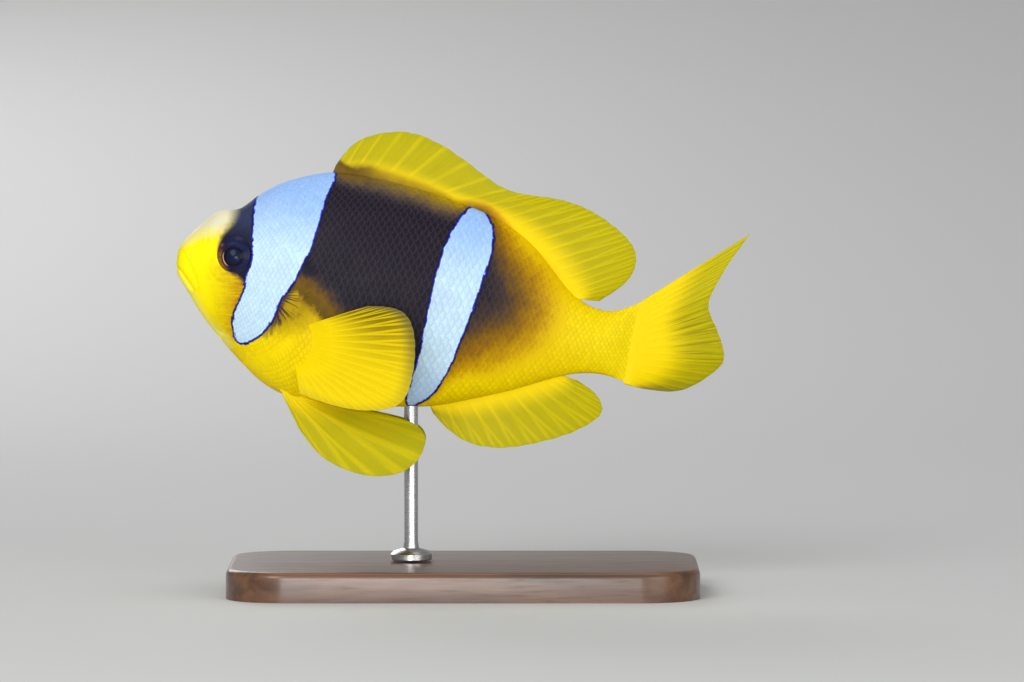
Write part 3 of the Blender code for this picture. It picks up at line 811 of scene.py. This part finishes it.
def bareness(points):
    """From 0, where no scales grow, to 1 on the fully scaled body: not on the snout and lips, the rim of the
    eye and the gill cover's edge."""
    place = points[:, [0, 2]]
    local = eye_space(points, 1)
    out = np.where(local[:, 1] > -1, np.hypot(local[:, 0], local[:, 2]), 9)
    naked = np.abs(nearest_on_line(place, NAKED)[0]) * np.where(inside(place, NAKED), -1, 1)
    gill, share = nearest_on_line(place, GILL_EDGE)
    gill = np.where(share > 0.03, np.abs(gill), 1)
    return (smoothstep(0.0, 0.030, naked) * smoothstep(0.98, 1.25, out)
            * (0.3 + 0.7 * smoothstep(0.9 * MM, 2.0 * MM, gill)) * (gill > 0.9 * MM))


def rim_of(order):
    """The points round a grid's rim, in turn."""
    return np.concatenate([order[:-1, 0], order[-1, :-1], order[:0:-1, -1], order[0, :0:-1]])


def plate_form():
    """A scale's grid: p from its root (0) to its free edge (1) and q across it (-1 to 1), the same in
    columns and rows of the lattice, and its height over the skin."""
    steps = np.linspace(0, 1, SCALE_GRID), np.linspace(-1, 1, SCALE_GRID)
    p, q = (grid.ravel() for grid in np.meshgrid(*steps, indexing="ij"))
    width = 1.06 * (0.72 + 0.28 * smoothstep(0.0, 0.45, p))
    curve = 1 - np.sqrt(1 - 0.92 * q ** 2)
    height = (0.14 + 0.86 * p) * (1 - 0.18 * q ** 2) - 0.10 * smoothstep(0.84, 1.0, p)
    return p, q, 1.55 - 3.1 * (1 - p) - 1.9 * curve, q * width, height


def plate_faces():
    """The rim of a scale's grid, and the faces of the closed plate: floor, wall and top."""
    order = np.arange(SCALE_GRID ** 2).reshape(SCALE_GRID, SCALE_GRID)
    rim = rim_of(order)
    under = order.size + np.arange(len(rim))
    next_rim, next_under = np.roll(rim, -1), np.roll(under, -1)
    floor = np.column_stack([under, next_under, np.full(len(rim), under[-1] + 1)])
    wall = np.column_stack([next_under, under, rim, next_rim])
    return rim, (floor, wall, grid_faces(SCALE_GRID, SCALE_GRID))


def scale_shells(side, rng):
    """The scales of one flank, in shells of no more than a piece may hold."""
    x0, k0, column, grown_share = scale_roots(rng)
    count = len(x0)
    size = rng.uniform(0.97, 1.04, count)
    tone = rng.uniform(0, 1, count)
    twist = rng.normal(0, 0.03, count)
    lift = SCALE_LIFT * (0.30 + 0.70 * smoothstep(12, 34, x0)) * (1 - 0.55 * smoothstep(84, 100, x0))
    lift *= rng.uniform(0.92, 1.10, count) * (0.30 + 0.70 * grown_share)

    p, q, along, across, height = plate_form()
    rim, blocks = plate_faces()
    x = x0[:, None] + along * (column * size)[:, None]
    k = k0[:, None] + (across + twist[:, None] * along) * size[:, None]
    base, normals = skin_surface(*on_flank(x.ravel(), row_height(x.ravel(), k.ravel())))
    place = base[:, [0, 2]].reshape(count, -1, 2)
    on_line = np.abs(nearest_on_line(place.mean(1), LATERAL_LINE)[0]) < 0.62 * row_height(x0, 1) * MM
    tube = bump(np.hypot((p - 0.74) / 0.20, q / 0.16), 1.0)
    outward = SCALE_CLEAR + (height + 0.5 * on_line[:, None] * tube) * lift[:, None]
    top = base + normals * outward.ravel()[:, None] * MM
    thick = np.repeat(0.010 + 0.34 * lift, len(p)) * MM
    bottom = top - normals * thick[:, None]

    def with_underside(upper, lower):
        return np.concatenate([upper, lower[:, rim], lower.mean(1, keepdims=True)], 1)

    points = with_underside(top.reshape(count, -1, 3), bottom.reshape(count, -1, 3))
    points[:, :, 1] *= side
    jitter = rng.uniform(-0.14, 0.14, (count, 1, 2)) * MM
    mark = {key: value.reshape(count, -1) for key, value in markings((place + jitter).reshape(-1, 2)).items()}
    mark["plate"] = np.tile(np.maximum(p, np.abs(q) * smoothstep(0.3, 1, p)), (count, 1))
    mark["tone"] = np.tile(tone[:, None], (1, len(p)))
    mark["pore"] = on_line[:, None] * bump(np.hypot((p - 0.86) / 0.09, q / 0.12), 1.0)
    mark = {key: with_underside(value, value) for key, value in mark.items()}

    spot = np.stack([0.02 + 0.96 * x0 / DISTANCE[-1], 0.02 + 0.96 * (row_height(x0, k0) + 36) / 72], -1)
    leaf = SCALE_PATCH * np.stack([p - 0.5, q / 2], -1)
    round_rim = np.concatenate([leaf, 1.2 * leaf[rim], [[0, 0]]])
    below = np.concatenate([leaf, leaf[rim], [[0, 0]]]) + [0, 1.4 * SCALE_PATCH]
    shells = []
    for part in np.array_split(np.argsort(x0, kind="stable"), SCALE_PIECES):
        starts = np.arange(len(part))[:, None, None] * points.shape[1]
        faces, maps = [], []
        for block, leaves in zip(blocks, (below, round_rim, round_rim)):
            block = block[:, ::side]
            faces.append((block + starts).reshape(-1, block.shape[1]))
            maps.append((spot[part][:, None, None] + leaves[block]).reshape(-1, block.shape[1], 2))
        chosen = {key: value[part].ravel() for key, value in mark.items()}
        shells.append(Shell(points[part].reshape(-1, 3), faces, maps, **chosen))
    return shells


def srgb(red, green, blue):
    """A colour given as it looks, from 0 to 255, in the shader's linear numbers."""
    parts = [value / 255 for value in (red, green, blue)]
    return tuple(p / 12.92 if p <= 0.04045 else ((p + 0.055) / 1.055) ** 2.4 for p in parts) + (1.0,)


class Value:
    """A number or colour that a shader works out, with the usual signs for sums."""

    def __init__(self, nodes, socket):
        self.nodes = nodes
        self.socket = socket

    def __add__(self, other):
        return self.nodes.maths("ADD", self, other)

    def __sub__(self, other):
        return self.nodes.maths("SUBTRACT", self, other)

    def __mul__(self, other):
        return self.nodes.maths("MULTIPLY", self, other)

    def __pow__(self, other):
        return self.nodes.maths("POWER", self, other)

    def __abs__(self):
        return self.nodes.maths("ABSOLUTE", self)

    def step(self, low, high, to_low=0.0, to_high=1.0):
        """A smooth step, from to_low where the number is low or less to to_high."""
        inputs = {"Value": self, "From Min": low, "From Max": high, "To Min": to_low, "To Max": to_high}
        return self.nodes.node("ShaderNodeMapRange", inputs, interpolation_type="SMOOTHSTEP")

    def paint(self, colour, share):
        """This colour with a share of another one over it."""
        return self.nodes.mix(share, self, colour)


class Nodes:
    """Short names for the shader nodes that the materials are made of."""

    def __init__(self, name):
        self.material = bpy.data.materials.new(name)
        self.material.use_nodes = True
        self.tree = self.material.node_tree

    def link(self, value, socket):
        """Feeds a socket from a value, or sets it. A colour is given as it looks, from 0 to 255."""
        if isinstance(value, Value):
            self.tree.links.new(value.socket, socket)
        elif socket.type == "RGBA":
            socket.default_value = srgb(*value)
        else:
            socket.default_value = value

    def node(self, kind, inputs=(), output=0, **settings):
        made = self.tree.nodes.new(kind)
        for key, value in settings.items():
            setattr(made, key, value)
        for key, value in dict(inputs).items():
            self.link(value, made.inputs[key])
        return Value(self, made.outputs[output])

    def attributes(self, names):
        return [self.node("ShaderNodeAttribute", output="Fac", attribute_name=name) for name in names.split()]

    def maths(self, operation, a, b=0.0):
        return self.node("ShaderNodeMath", {0: a, 1: b}, operation=operation)

    def mix(self, share, a, b, blend="MIX"):
        return self.node("ShaderNodeMix", {0: share, 6: a, 7: b}, 2, data_type="RGBA", blend_type=blend)

    def vector(self, x, y, z=0.0):
        return self.node("ShaderNodeCombineXYZ", {0: x, 1: y, 2: z})

    def place(self):
        return self.node("ShaderNodeTexCoord", output="Object")

    def noise(self, scale, detail=3.0, vector=None, **inputs):
        inputs = {"Scale": scale, "Detail": detail, "Vector": vector or self.place(), **inputs}
        return self.node("ShaderNodeTexNoise", inputs, "Fac")

    def stretched(self, tilt, scale):
        """Places in the object, turned about Y or Z and stretched."""
        return self.node("ShaderNodeMapping", {"Vector": self.place(), "Rotation": tilt, "Scale": scale})

    def ramp(self, value, places, colours):
        """The colours at their places, and what lies between them."""
        made = self.node("ShaderNodeValToRGB", {"Fac": value})
        ramp = made.socket.node.color_ramp
        while len(ramp.elements) < len(places):
            ramp.elements.new(0.5)
        for element, at, colour in zip(ramp.elements, places, colours):
            element.position = at
            element.color = srgb(*colour)
        return made

    def bump(self, height, distance, strength):
        return self.node("ShaderNodeBump", {"Height": height, "Distance": distance, "Strength": strength})

    def surface(self, values):
        """The material, with these values in its shader."""
        for name, value in values.items():
            self.link(value, self.tree.nodes["Principled BSDF"].inputs[name])
        return self.material


LEVEL = (0, math.radians(-PITCH), 0)
DARK_STEPS = (0.0, 0.14, 0.28, 0.42, 0.56, 0.70, 0.86, 1.0)
TRUNK_COLOURS = ((240, 202, 2), (224, 180, 0), (192, 144, 0), (150, 106, 6), (108, 77, 24), (66, 50, 42),
                 (37, 30, 40), (26, 22, 35))
BACK_COLOURS = ((226, 196, 0), (206, 176, 0), (176, 146, 4), (140, 114, 32), (104, 86, 52), (70, 58, 54),
                (37, 30, 40), (26, 22, 35))
GILL_FAN_AT = (0.211, -0.029)


def body_yellow(n, broad, rim):
    along, up = n.attributes("along up")
    yellow = n.mix(along.step(0.05, 0.26), (255, 236, 0), (240, 206, 0))
    yellow = yellow.paint((252, 224, 0), up.step(-0.20, -0.02, 1.0, 0.0))
    yellow = yellow.paint((246, 222, 0), along.step(0.80, 0.92))
    yellow = yellow.paint((232, 190, 0), broad.step(0.35, 0.75, 0.0, 0.30))
    return yellow.paint((216, 164, 0), rim * along.step(0.12, 0.30, 0.10, 0.42))


def fin_colours(n):
    """The colour of every fin and the height of its rays' segments, with painted shade on the pectoral fin's
    upper rays and, partly, in the middle of the tail fin. fin is 2 on a pectoral fin, 3 on the tail fin and 1
    on the others."""
    fin, ray, reach, margin, branch = n.attributes("fin ray reach margin branch")
    tail_fin = fin.step(2.3, 2.8)
    off = abs(n.maths("FRACT", ray + 0.5) - 0.5)
    on_ray = abs(off - branch).step(0.04, 0.16, 1.0, 0.0)
    fibres = n.noise(1.0, 2.0, n.vector(ray * 6.0, reach * 1.1, fin * 7.0))
    root_colour = (242, 212, 0)
    spread = reach - tail_fin * 0.28
    web = n.mix(spread.step(0.0, 0.45), root_colour, (184, 170, 0))
    web = web.paint((176, 168, 4), reach.step(0.60, 1.0))
    rays = n.mix(spread.step(0.0, 0.55), root_colour, (205, 189, 0))
    colour = web.paint(rays, on_ray * fibres.step(0.35, 0.6, 0.35, 1.0))
    colour = colour.paint((160, 148, 0), fibres.step(0.44, 0.70, 0.0, 0.26) * spread.step(0.05, 0.5))
    colour = colour.paint((150, 142, 24), margin * 0.25)
    # Dark streaks in the middle of the tail fin: partly the rays bunching there, partly painted shade of the
    # fin's fold.
    middle = abs(ray - 8.5).step(1.0, 4.5, 1.0, 0.0) * fibres.step(0.46, 0.60)
    colour = colour.paint((120, 112, 20), middle * tail_fin * reach.step(0.35, 0.65, 0.0, 0.6))

    wing = n.mix(reach.step(0.05, 0.6), (246, 214, 0), (240, 210, 4))
    # Painted shade: outwards, the pectoral fin's upper rays are darkened to dark olive.
    upper = ray.step(2.0, 10.0, 1.0, 0.0) * reach.step(0.20, 0.75)
    wing = wing.paint((80, 72, 4), upper * (on_ray + fibres).step(0.35, 1.3, 1.0, 0.30))
    wing = wing.paint((196, 156, 0), on_ray.step(0.0, 1.0, 0.16, 0.0) * reach.step(0.1, 0.4))
    wing = wing.paint((104, 98, 48), margin * ray.step(3.0, 14.0, 0.9, 0.22))
    colour = colour.paint(wing, abs(fin - 2.0).step(0.2, 0.5, 1.0, 0.0))
    return colour, n.maths("SINE", reach * 190.0) * on_ray


def head_marks(n, colour, broad):
    """The brown cheek, the gill cover's streaks in a fan, the pale brow and the pale chin."""
    along, up, cheek, gill, strip, brow, chin = n.attributes("along up cheek gill strip brow chin")
    streaks = n.noise(1.0, 3.0, n.stretched(LEVEL, (260.0, 260.0, 2200.0)))
    colour = colour.paint((176, 104, 10), cheek * streaks.step(0.3, 0.7, 0.50, 0.95))
    aside, rise = along - GILL_FAN_AT[0], up - GILL_FAN_AT[1]
    fan = n.noise(1.0, 2.0, n.vector(n.maths("ARCTAN2", rise, aside) * 15.0, along * 14.0))
    away = n.maths("SQRT", rise ** 2.0 + aside ** 2.0)
    colour = colour.paint((146, 116, 8), gill * broad.step(0.3, 0.7, 0.70, 0.95))
    lines = fan.step(0.50, 0.62, 0.0, 0.85) * away.step(0.055, 0.078, 1.0, 0.0)
    colour = colour.paint((92, 60, 20), gill * lines)
    strip = (strip + fan.step(0.40, 0.62, -0.22, 0.16)).step(0.25, 0.75)
    colour = colour.paint((66, 44, 44), strip * up.step(-0.13, -0.07, 0.45, 0.95))
    colour = colour.paint((226, 221, 194), brow * 0.92)
    return colour.paint((255, 248, 128), chin * 0.85)


def dark_trunk(n, colour, mottle, rim):
    """The dark trunk, with scales' paler rims, and the dark nape round the eye."""
    along, up, dark, mask, tone, plate = n.attributes("along up dark mask tone plate")
    speckle = along.step(0.32, 0.42, 0.50, 0.16) * dark.step(0.65, 1.0, 1.0, 0.25) * dark.step(0.02, 0.35)
    depth = dark + (mottle - 0.5) * speckle + (tone - 0.5) * 0.06 - rim * 0.05
    trunk = n.ramp(depth, DARK_STEPS, TRUNK_COLOURS)
    by_dorsal = up.step(0.12, 0.20) * along.step(0.55, 0.66, 1.0, 0.0)
    trunk = trunk.paint(n.ramp(depth, DARK_STEPS, BACK_COLOURS), by_dorsal)
    trunk = trunk.paint((84, 73, 78), plate.step(0.80, 0.98) * depth.step(0.5, 0.9, 0.0, 0.24))
    front = n.mix(depth.step(0.30, 0.80), (106, 79, 15), trunk)
    trunk = trunk.paint(front, along.step(0.34, 0.42, 1.0, 0.0))
    colour = colour.paint(trunk, depth.step(0.02, 0.25))
    nape = n.mix(up.step(0.06, 0.13), (24, 24, 44), (54, 62, 92))
    return colour.paint(nape, mask.step(0.10, 0.90))


def pale_bands(n, colour, rim):
    """The two bands: a near black line outside, a blue line and the pale blue inside, and the side line's
    pores."""
    band, up, pore = n.attributes("band up pore")
    depth = band + (n.noise(1500.0, 2.0) - 0.5) * 0.36
    colour = colour.paint((16, 14, 66), depth.step(-0.40, -0.22))
    blue = n.mix(n.noise(700.0, 2.0).step(0.4, 0.6), (28, 22, 120), (36, 44, 214))
    colour = colour.paint(blue, depth.step(-0.16, 0.0))
    cool = n.maths("MAXIMUM", up.step(0.04, 0.20), up.step(-0.20, -0.10, 0.45, 0.0))
    white = n.mix(cool, (206, 236, 250), (152, 192, 248))
    upright = n.noise(1.0, 3.0, n.stretched(LEVEL, (2400.0, 2400.0, 420.0)))
    white = white.paint((216, 238, 252), upright.step(0.45, 0.75, 0.0, 0.3))
    white = white.paint((188, 204, 246), n.noise(160.0, 2.0).step(0.55, 0.75, 0.0, 0.4))
    white = white.paint((140, 172, 226), rim * 0.30)
    colour = colour.paint(white, depth.step(0.06, 0.26))
    return colour.paint((70, 66, 80), pore * 0.6)


def fish_material():
    """One skin for the body, the fins and the scales. The markings come as attributes of each point."""
    n = Nodes("fish_skin")
    fin, plate, tone = n.attributes("fin plate tone")
    fine, mottle, broad = n.noise(2600.0), n.noise(420.0), n.noise(90.0, 2.0)
    rim, on_fin = plate.step(0.72, 0.96), fin.step(0.3, 0.8)
    fins, segments = fin_colours(n)
    colour = body_yellow(n, broad, rim).paint(fins, on_fin)
    colour = head_marks(n, colour, broad)
    colour = dark_trunk(n, colour, mottle, rim)
    colour = pale_bands(n, colour, rim)
    value = tone.step(0.0, 1.0, 0.955, 1.035) + fine.step(0.3, 0.7, -0.02, 0.02)
    grey = n.node("ShaderNodeCombineColor", {0: value, 1: value, 2: value})
    return n.surface({
        "Base Color": n.mix(1.0, colour, grey, "MULTIPLY"),
        "Roughness": mottle.step(0.3, 0.7, 0.42, 0.52),
        "Normal": n.bump(segments * on_fin * 0.25 + fine, 0.00003, 0.4),
        "Specular IOR Level": 0.10, "Subsurface Weight": 0.10,
        "Subsurface Radius": (1.0, 0.6, 0.3), "Subsurface Scale": 0.0006})


PUPIL_AT = (0.02, -0.11)


def eye_material(word):
    """Dark iris with a thin pale crescent before the pupil, worked out from the ball's own places."""
    n = Nodes(f"eye_{word}")
    out, turn, low, spot = n.attributes("out turn low spot")
    fibre = n.noise(1.0, 4.0, n.vector(turn * 9.0, out * 3.0))
    iris = n.mix(fibre.step(0.35, 0.7), (22, 27, 56), (32, 36, 74))
    iris = iris.paint((34, 20, 46), low.step(-0.2, 0.6, 0.0, 0.8))
    warm = out.step(0.56, 0.68) * out.step(0.80, 0.92, 1.0, 0.5)
    iris = iris.paint((140, 98, 22), low.step(0.55, 0.95) * fibre.step(0.3, 0.6, 0.5, 1.0) * warm)
    ring = out.step(0.490, 0.515) * out.step(0.525, 0.560, 1.0, 0.0)
    iris = iris.paint((214, 178, 130), ring * low.step(0.70, 0.95))
    iris = iris.paint((150, 100, 110), spot)
    pupil = n.mix(out.step(0.30, 0.40), (10, 24, 52), (14, 12, 28))
    return n.surface({"Base Color": iris.paint(pupil, out.step(0.45, 0.48, 1.0, 0.0)), "Roughness": 0.35,
                      "Specular IOR Level": 0.08, "Coat Weight": 0.12, "Coat Roughness": 0.03})


def make_eye(side, word):
    """The eyeball: a domed front with the iris sunk a little round the pupil's lens."""
    rings, columns = 64, 96
    theta = np.linspace(0, 0.62 * math.pi, rings + 1)[1:]
    phi = np.linspace(0, 2 * math.pi, columns, endpoint=False)
    t, f = (grid.ravel() for grid in np.meshgrid(theta, phi, indexing="ij"))
    local = np.column_stack([np.sin(t) * np.cos(f), np.cos(t), np.sin(t) * np.sin(f)])
    local = np.concatenate([local, [[0, 1, 0]]])
    from_pupil = local[:, [0, 2]] - PUPIL_AT
    away = np.hypot(*from_pupil.T)
    local[:, 1] += 0.07 * bump(away, 0.36) - 0.045 * bump(away - 0.56, 0.13)
    local[:, 1] *= side
    matrix = np.array(FISH @ eye_matrix(side))
    bm = bmesh.new()
    verts = [bm.verts.new(point) for point in local @ matrix[:3, :3].T + matrix[:3, 3]]
    for face in grid_faces(rings, columns, closed=True):
        bm.faces.new([verts[i] for i in face])
    for i in range(columns):
        bm.faces.new((verts[rings * columns], verts[(i + 1) % columns], verts[i]))
    bm.faces.new(verts[(rings - 1) * columns:rings * columns])
    bmesh.ops.recalc_face_normals(bm, faces=bm.faces)
    mesh = mesh_of(f"eyeball_{word}", bm)
    add_attributes(mesh, {"out": away, "low": from_pupil @ [-0.89, -0.45] / np.maximum(away, 0.01),
                          "spot": 0.6 * bump(np.hypot(local[:, 0] + 0.68, local[:, 2] - 0.34), 0.08),
                          "turn": np.arctan2(from_pupil[:, 1], from_pupil[:, 0])})
    add_piece(f"eyeball_{word}", mesh, eye_material(word), "eye", f"eye_{word}")


FLESH = ("head", "snout", "lower_jaw", "operculum_left", "operculum_right", "trunk_front", "trunk_middle",
         "trunk_rear", "tail_stalk")
FINS = ("dorsal_fin_spiny", "dorsal_fin_soft", "anal_fin", "caudal_fin", "pectoral_fin_left",
        "pectoral_fin_right", "pelvic_fin_left", "pelvic_fin_right")
SEED = 7


def make_fish():
    material = fish_material()
    add_piece("skin", shell_mesh("skin", [body_shell()]), material, "skin", *FLESH)
    add_piece("fins", shell_mesh("fins", fin_shells()), material, "fin", *FINS)
    rng = np.random.default_rng(SEED)
    for side, word in SIDES:
        for number, shell in enumerate(scale_shells(side, rng), 1):
            name = f"scales_{word}_{number}"
            add_piece(name, shell_mesh(name, [shell]), material, "skin")
        make_eye(side, word)


def wood_material():
    n = Nodes("walnut")
    grain = n.noise(1.0, 5.0, n.stretched((0, 0, 0.06), (22.0, 420.0, 300.0)), Distortion=0.4)
    pores = n.noise(1.0, 3.0, n.stretched((0, 0, 0.06), (160.0, 3600.0, 2600.0)))
    colour = n.mix(grain.step(0.35, 0.68), (78, 50, 34), (112, 76, 50))
    colour = colour.paint((48, 30, 20), pores.step(0.62, 0.75, 0.0, 0.6))
    return n.surface({"Base Color": colour, "Roughness": pores.step(0.4, 0.8, 0.34, 0.5),
                      "Normal": n.bump(pores, 0.00004, 0.4), "Coat Weight": 0.3, "Coat Roughness": 0.2})


def steel_material():
    n = Nodes("brushed_steel")
    lines = n.noise(1.0, 4.0, n.stretched((0, 0, 0), (600.0, 600.0, 26000.0)))
    colour = n.mix(lines.step(0.3, 0.7), (188, 188, 190), (208, 208, 208))
    return n.surface({"Base Color": colour, "Roughness": lines.step(0.3, 0.7, 0.22, 0.36),
                      "Normal": n.bump(lines, 0.00001, 0.3), "Metallic": 1.0})


BASE_SIZE = (0.094, 0.056, 0.006)
BASE_CORNER = 0.012
BASE_BEVEL = 0.0012
ROD_X = -0.0105
ROD_RADIUS = 0.0014
COLLAR_RADIUS = 0.0042
COLLAR_HEIGHT = 0.0022
GAP = 0.0003


def stand_piece(name, node, bm, material):
    """A finely rounded piece in the place of one of the stand's nodes."""
    bmesh.ops.recalc_face_normals(bm, faces=bm.faces)
    mesh = mesh_of(name, bm)
    mesh.set_sharp_from_angle(angle=math.radians(30))
    add_piece(name, mesh, material, node, node)


def make_stand():
    length, depth, height = BASE_SIZE
    bm = bmesh.new()
    corners = []
    for quarter, (sx, sy) in enumerate(((1, 1), (-1, 1), (-1, -1), (1, -1))):
        for angle in (quarter + np.linspace(0, 1, 25)) * math.pi / 2:
            x = sx * (length / 2 - BASE_CORNER) + BASE_CORNER * math.cos(angle)
            y = sy * (depth / 2 - BASE_CORNER) + BASE_CORNER * math.sin(angle)
            corners.append(bm.verts.new((x, y, 0)))
    raised = bmesh.ops.extrude_face_region(bm, geom=[bm.faces.new(corners)])
    top = [item for item in raised["geom"] if isinstance(item, bmesh.types.BMVert)]
    bmesh.ops.translate(bm, verts=top, vec=(0, 0, height))
    rim = [edge for edge in bm.edges if all(abs(vert.co.z - height) < 1e-6 for vert in edge.verts)]
    bmesh.ops.bevel(bm, geom=rim, offset=BASE_BEVEL, segments=5, profile=0.5, affect="EDGES")
    stand_piece("plinth", "stand_base", bm, wood_material())

    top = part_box("stand_rod")[1][2]
    profile = ((0, GAP), (COLLAR_RADIUS - 0.0002, GAP), (COLLAR_RADIUS, GAP + 0.0002),
               (COLLAR_RADIUS, COLLAR_HEIGHT * 0.7), (COLLAR_RADIUS * 0.82, COLLAR_HEIGHT),
               (ROD_RADIUS * 1.15, COLLAR_HEIGHT * 1.25), (ROD_RADIUS, COLLAR_HEIGHT * 1.8),
               (ROD_RADIUS, top - height - ROD_RADIUS * 0.4), (ROD_RADIUS * 0.6, top - height),
               (0, top - height))
    bm = bmesh.new()
    verts = [bm.verts.new((ROD_X + radius, 0, height + rise)) for radius, rise in profile]
    edges = [bm.edges.new(pair) for pair in zip(verts, verts[1:])]
    bmesh.ops.spin(bm, geom=verts + edges, cent=(ROD_X, 0, 0), axis=(0, 0, 1), angle=math.tau, steps=64)
    bmesh.ops.remove_doubles(bm, verts=bm.verts, dist=1e-6)
    stand_piece("rod", "stand_rod", bm, steel_material())


FLOOR_COLOUR = (214, 215, 214)
LIGHTS = (
    ("key", (-0.45, -1.00, 0.62), 0.6, 6.0),
    ("fill", (0.60, -0.90, 0.22), 0.7, 3.4),
    ("low", (-0.05, -0.85, 0.06), 0.25, 2.4),
    ("top", (0.05, 0.05, 0.90), 0.6, 1.3),
    ("back", (-0.30, 0.80, 0.45), 0.5, 2.0),
)
WORLD_STRENGTH = 0.30
FRAME_WIDTH = 0.2048
LOOK_AT = (0.0097, 0.0, 0.0502)
CAMERA_AWAY = 1.50
CAMERA_RISE = 3.0
SENSOR = 36.0


def make_stage():
    """A plain pale floor that curves up behind."""
    front, back, radius, top = -3.0, 0.45, 1.2, 3.0
    turn = np.linspace(0, math.pi / 2, 25)[1:]
    curve = zip(back + radius * np.sin(turn), radius * (1 - np.cos(turn)))
    profile = [(front, 0.0), (back, 0.0), *curve, (back + radius, top)]
    bm = bmesh.new()
    left, right = [[bm.verts.new((x, y, z)) for y, z in profile] for x in (-4.0, 4.0)]
    for i in range(len(profile) - 1):
        bm.faces.new((left[i], right[i], right[i + 1], left[i + 1]))
    mesh = mesh_of("floor", bm)
    mesh.materials.append(Nodes("floor").surface(
        {"Base Color": FLOOR_COLOUR, "Roughness": 0.8, "Specular IOR Level": 0.1}))
    add_object("floor", mesh)


def aim(obj, at):
    """Sets the object at a place and turns it to what the camera looks at."""
    obj.location = at
    obj.rotation_euler = (Vector(LOOK_AT) - Vector(at)).to_track_quat("-Z", "Y").to_euler()


def make_lights():
    for name, at, size, power in LIGHTS:
        data = bpy.data.lights.new(name, "AREA")
        data.shape, data.size, data.energy = "DISK", size, power
        aim(add_object(name, data), at)
    world = bpy.data.worlds.new("studio")
    world.use_nodes = True
    background = world.node_tree.nodes["Background"].inputs
    background["Color"].default_value = (1, 1, 1, 1)
    background["Strength"].default_value = WORLD_STRENGTH
    bpy.context.scene.world = world


def make_camera():
    data = bpy.data.cameras.new("camera")
    data.sensor_width = SENSOR
    data.lens = SENSOR * CAMERA_AWAY / FRAME_WIDTH
    data.clip_start, data.clip_end = 0.01, 20.0
    rise = math.radians(CAMERA_RISE)
    obj = add_object("camera", data)
    aim(obj, Vector(LOOK_AT) + Vector((0.0, -math.cos(rise), math.sin(rise))) * CAMERA_AWAY)
    bpy.context.scene.camera = obj


make_camera()
make_stage()
make_lights()
make_fish()
make_stand()
bpy.context.scene.view_settings.view_transform = "Standard"
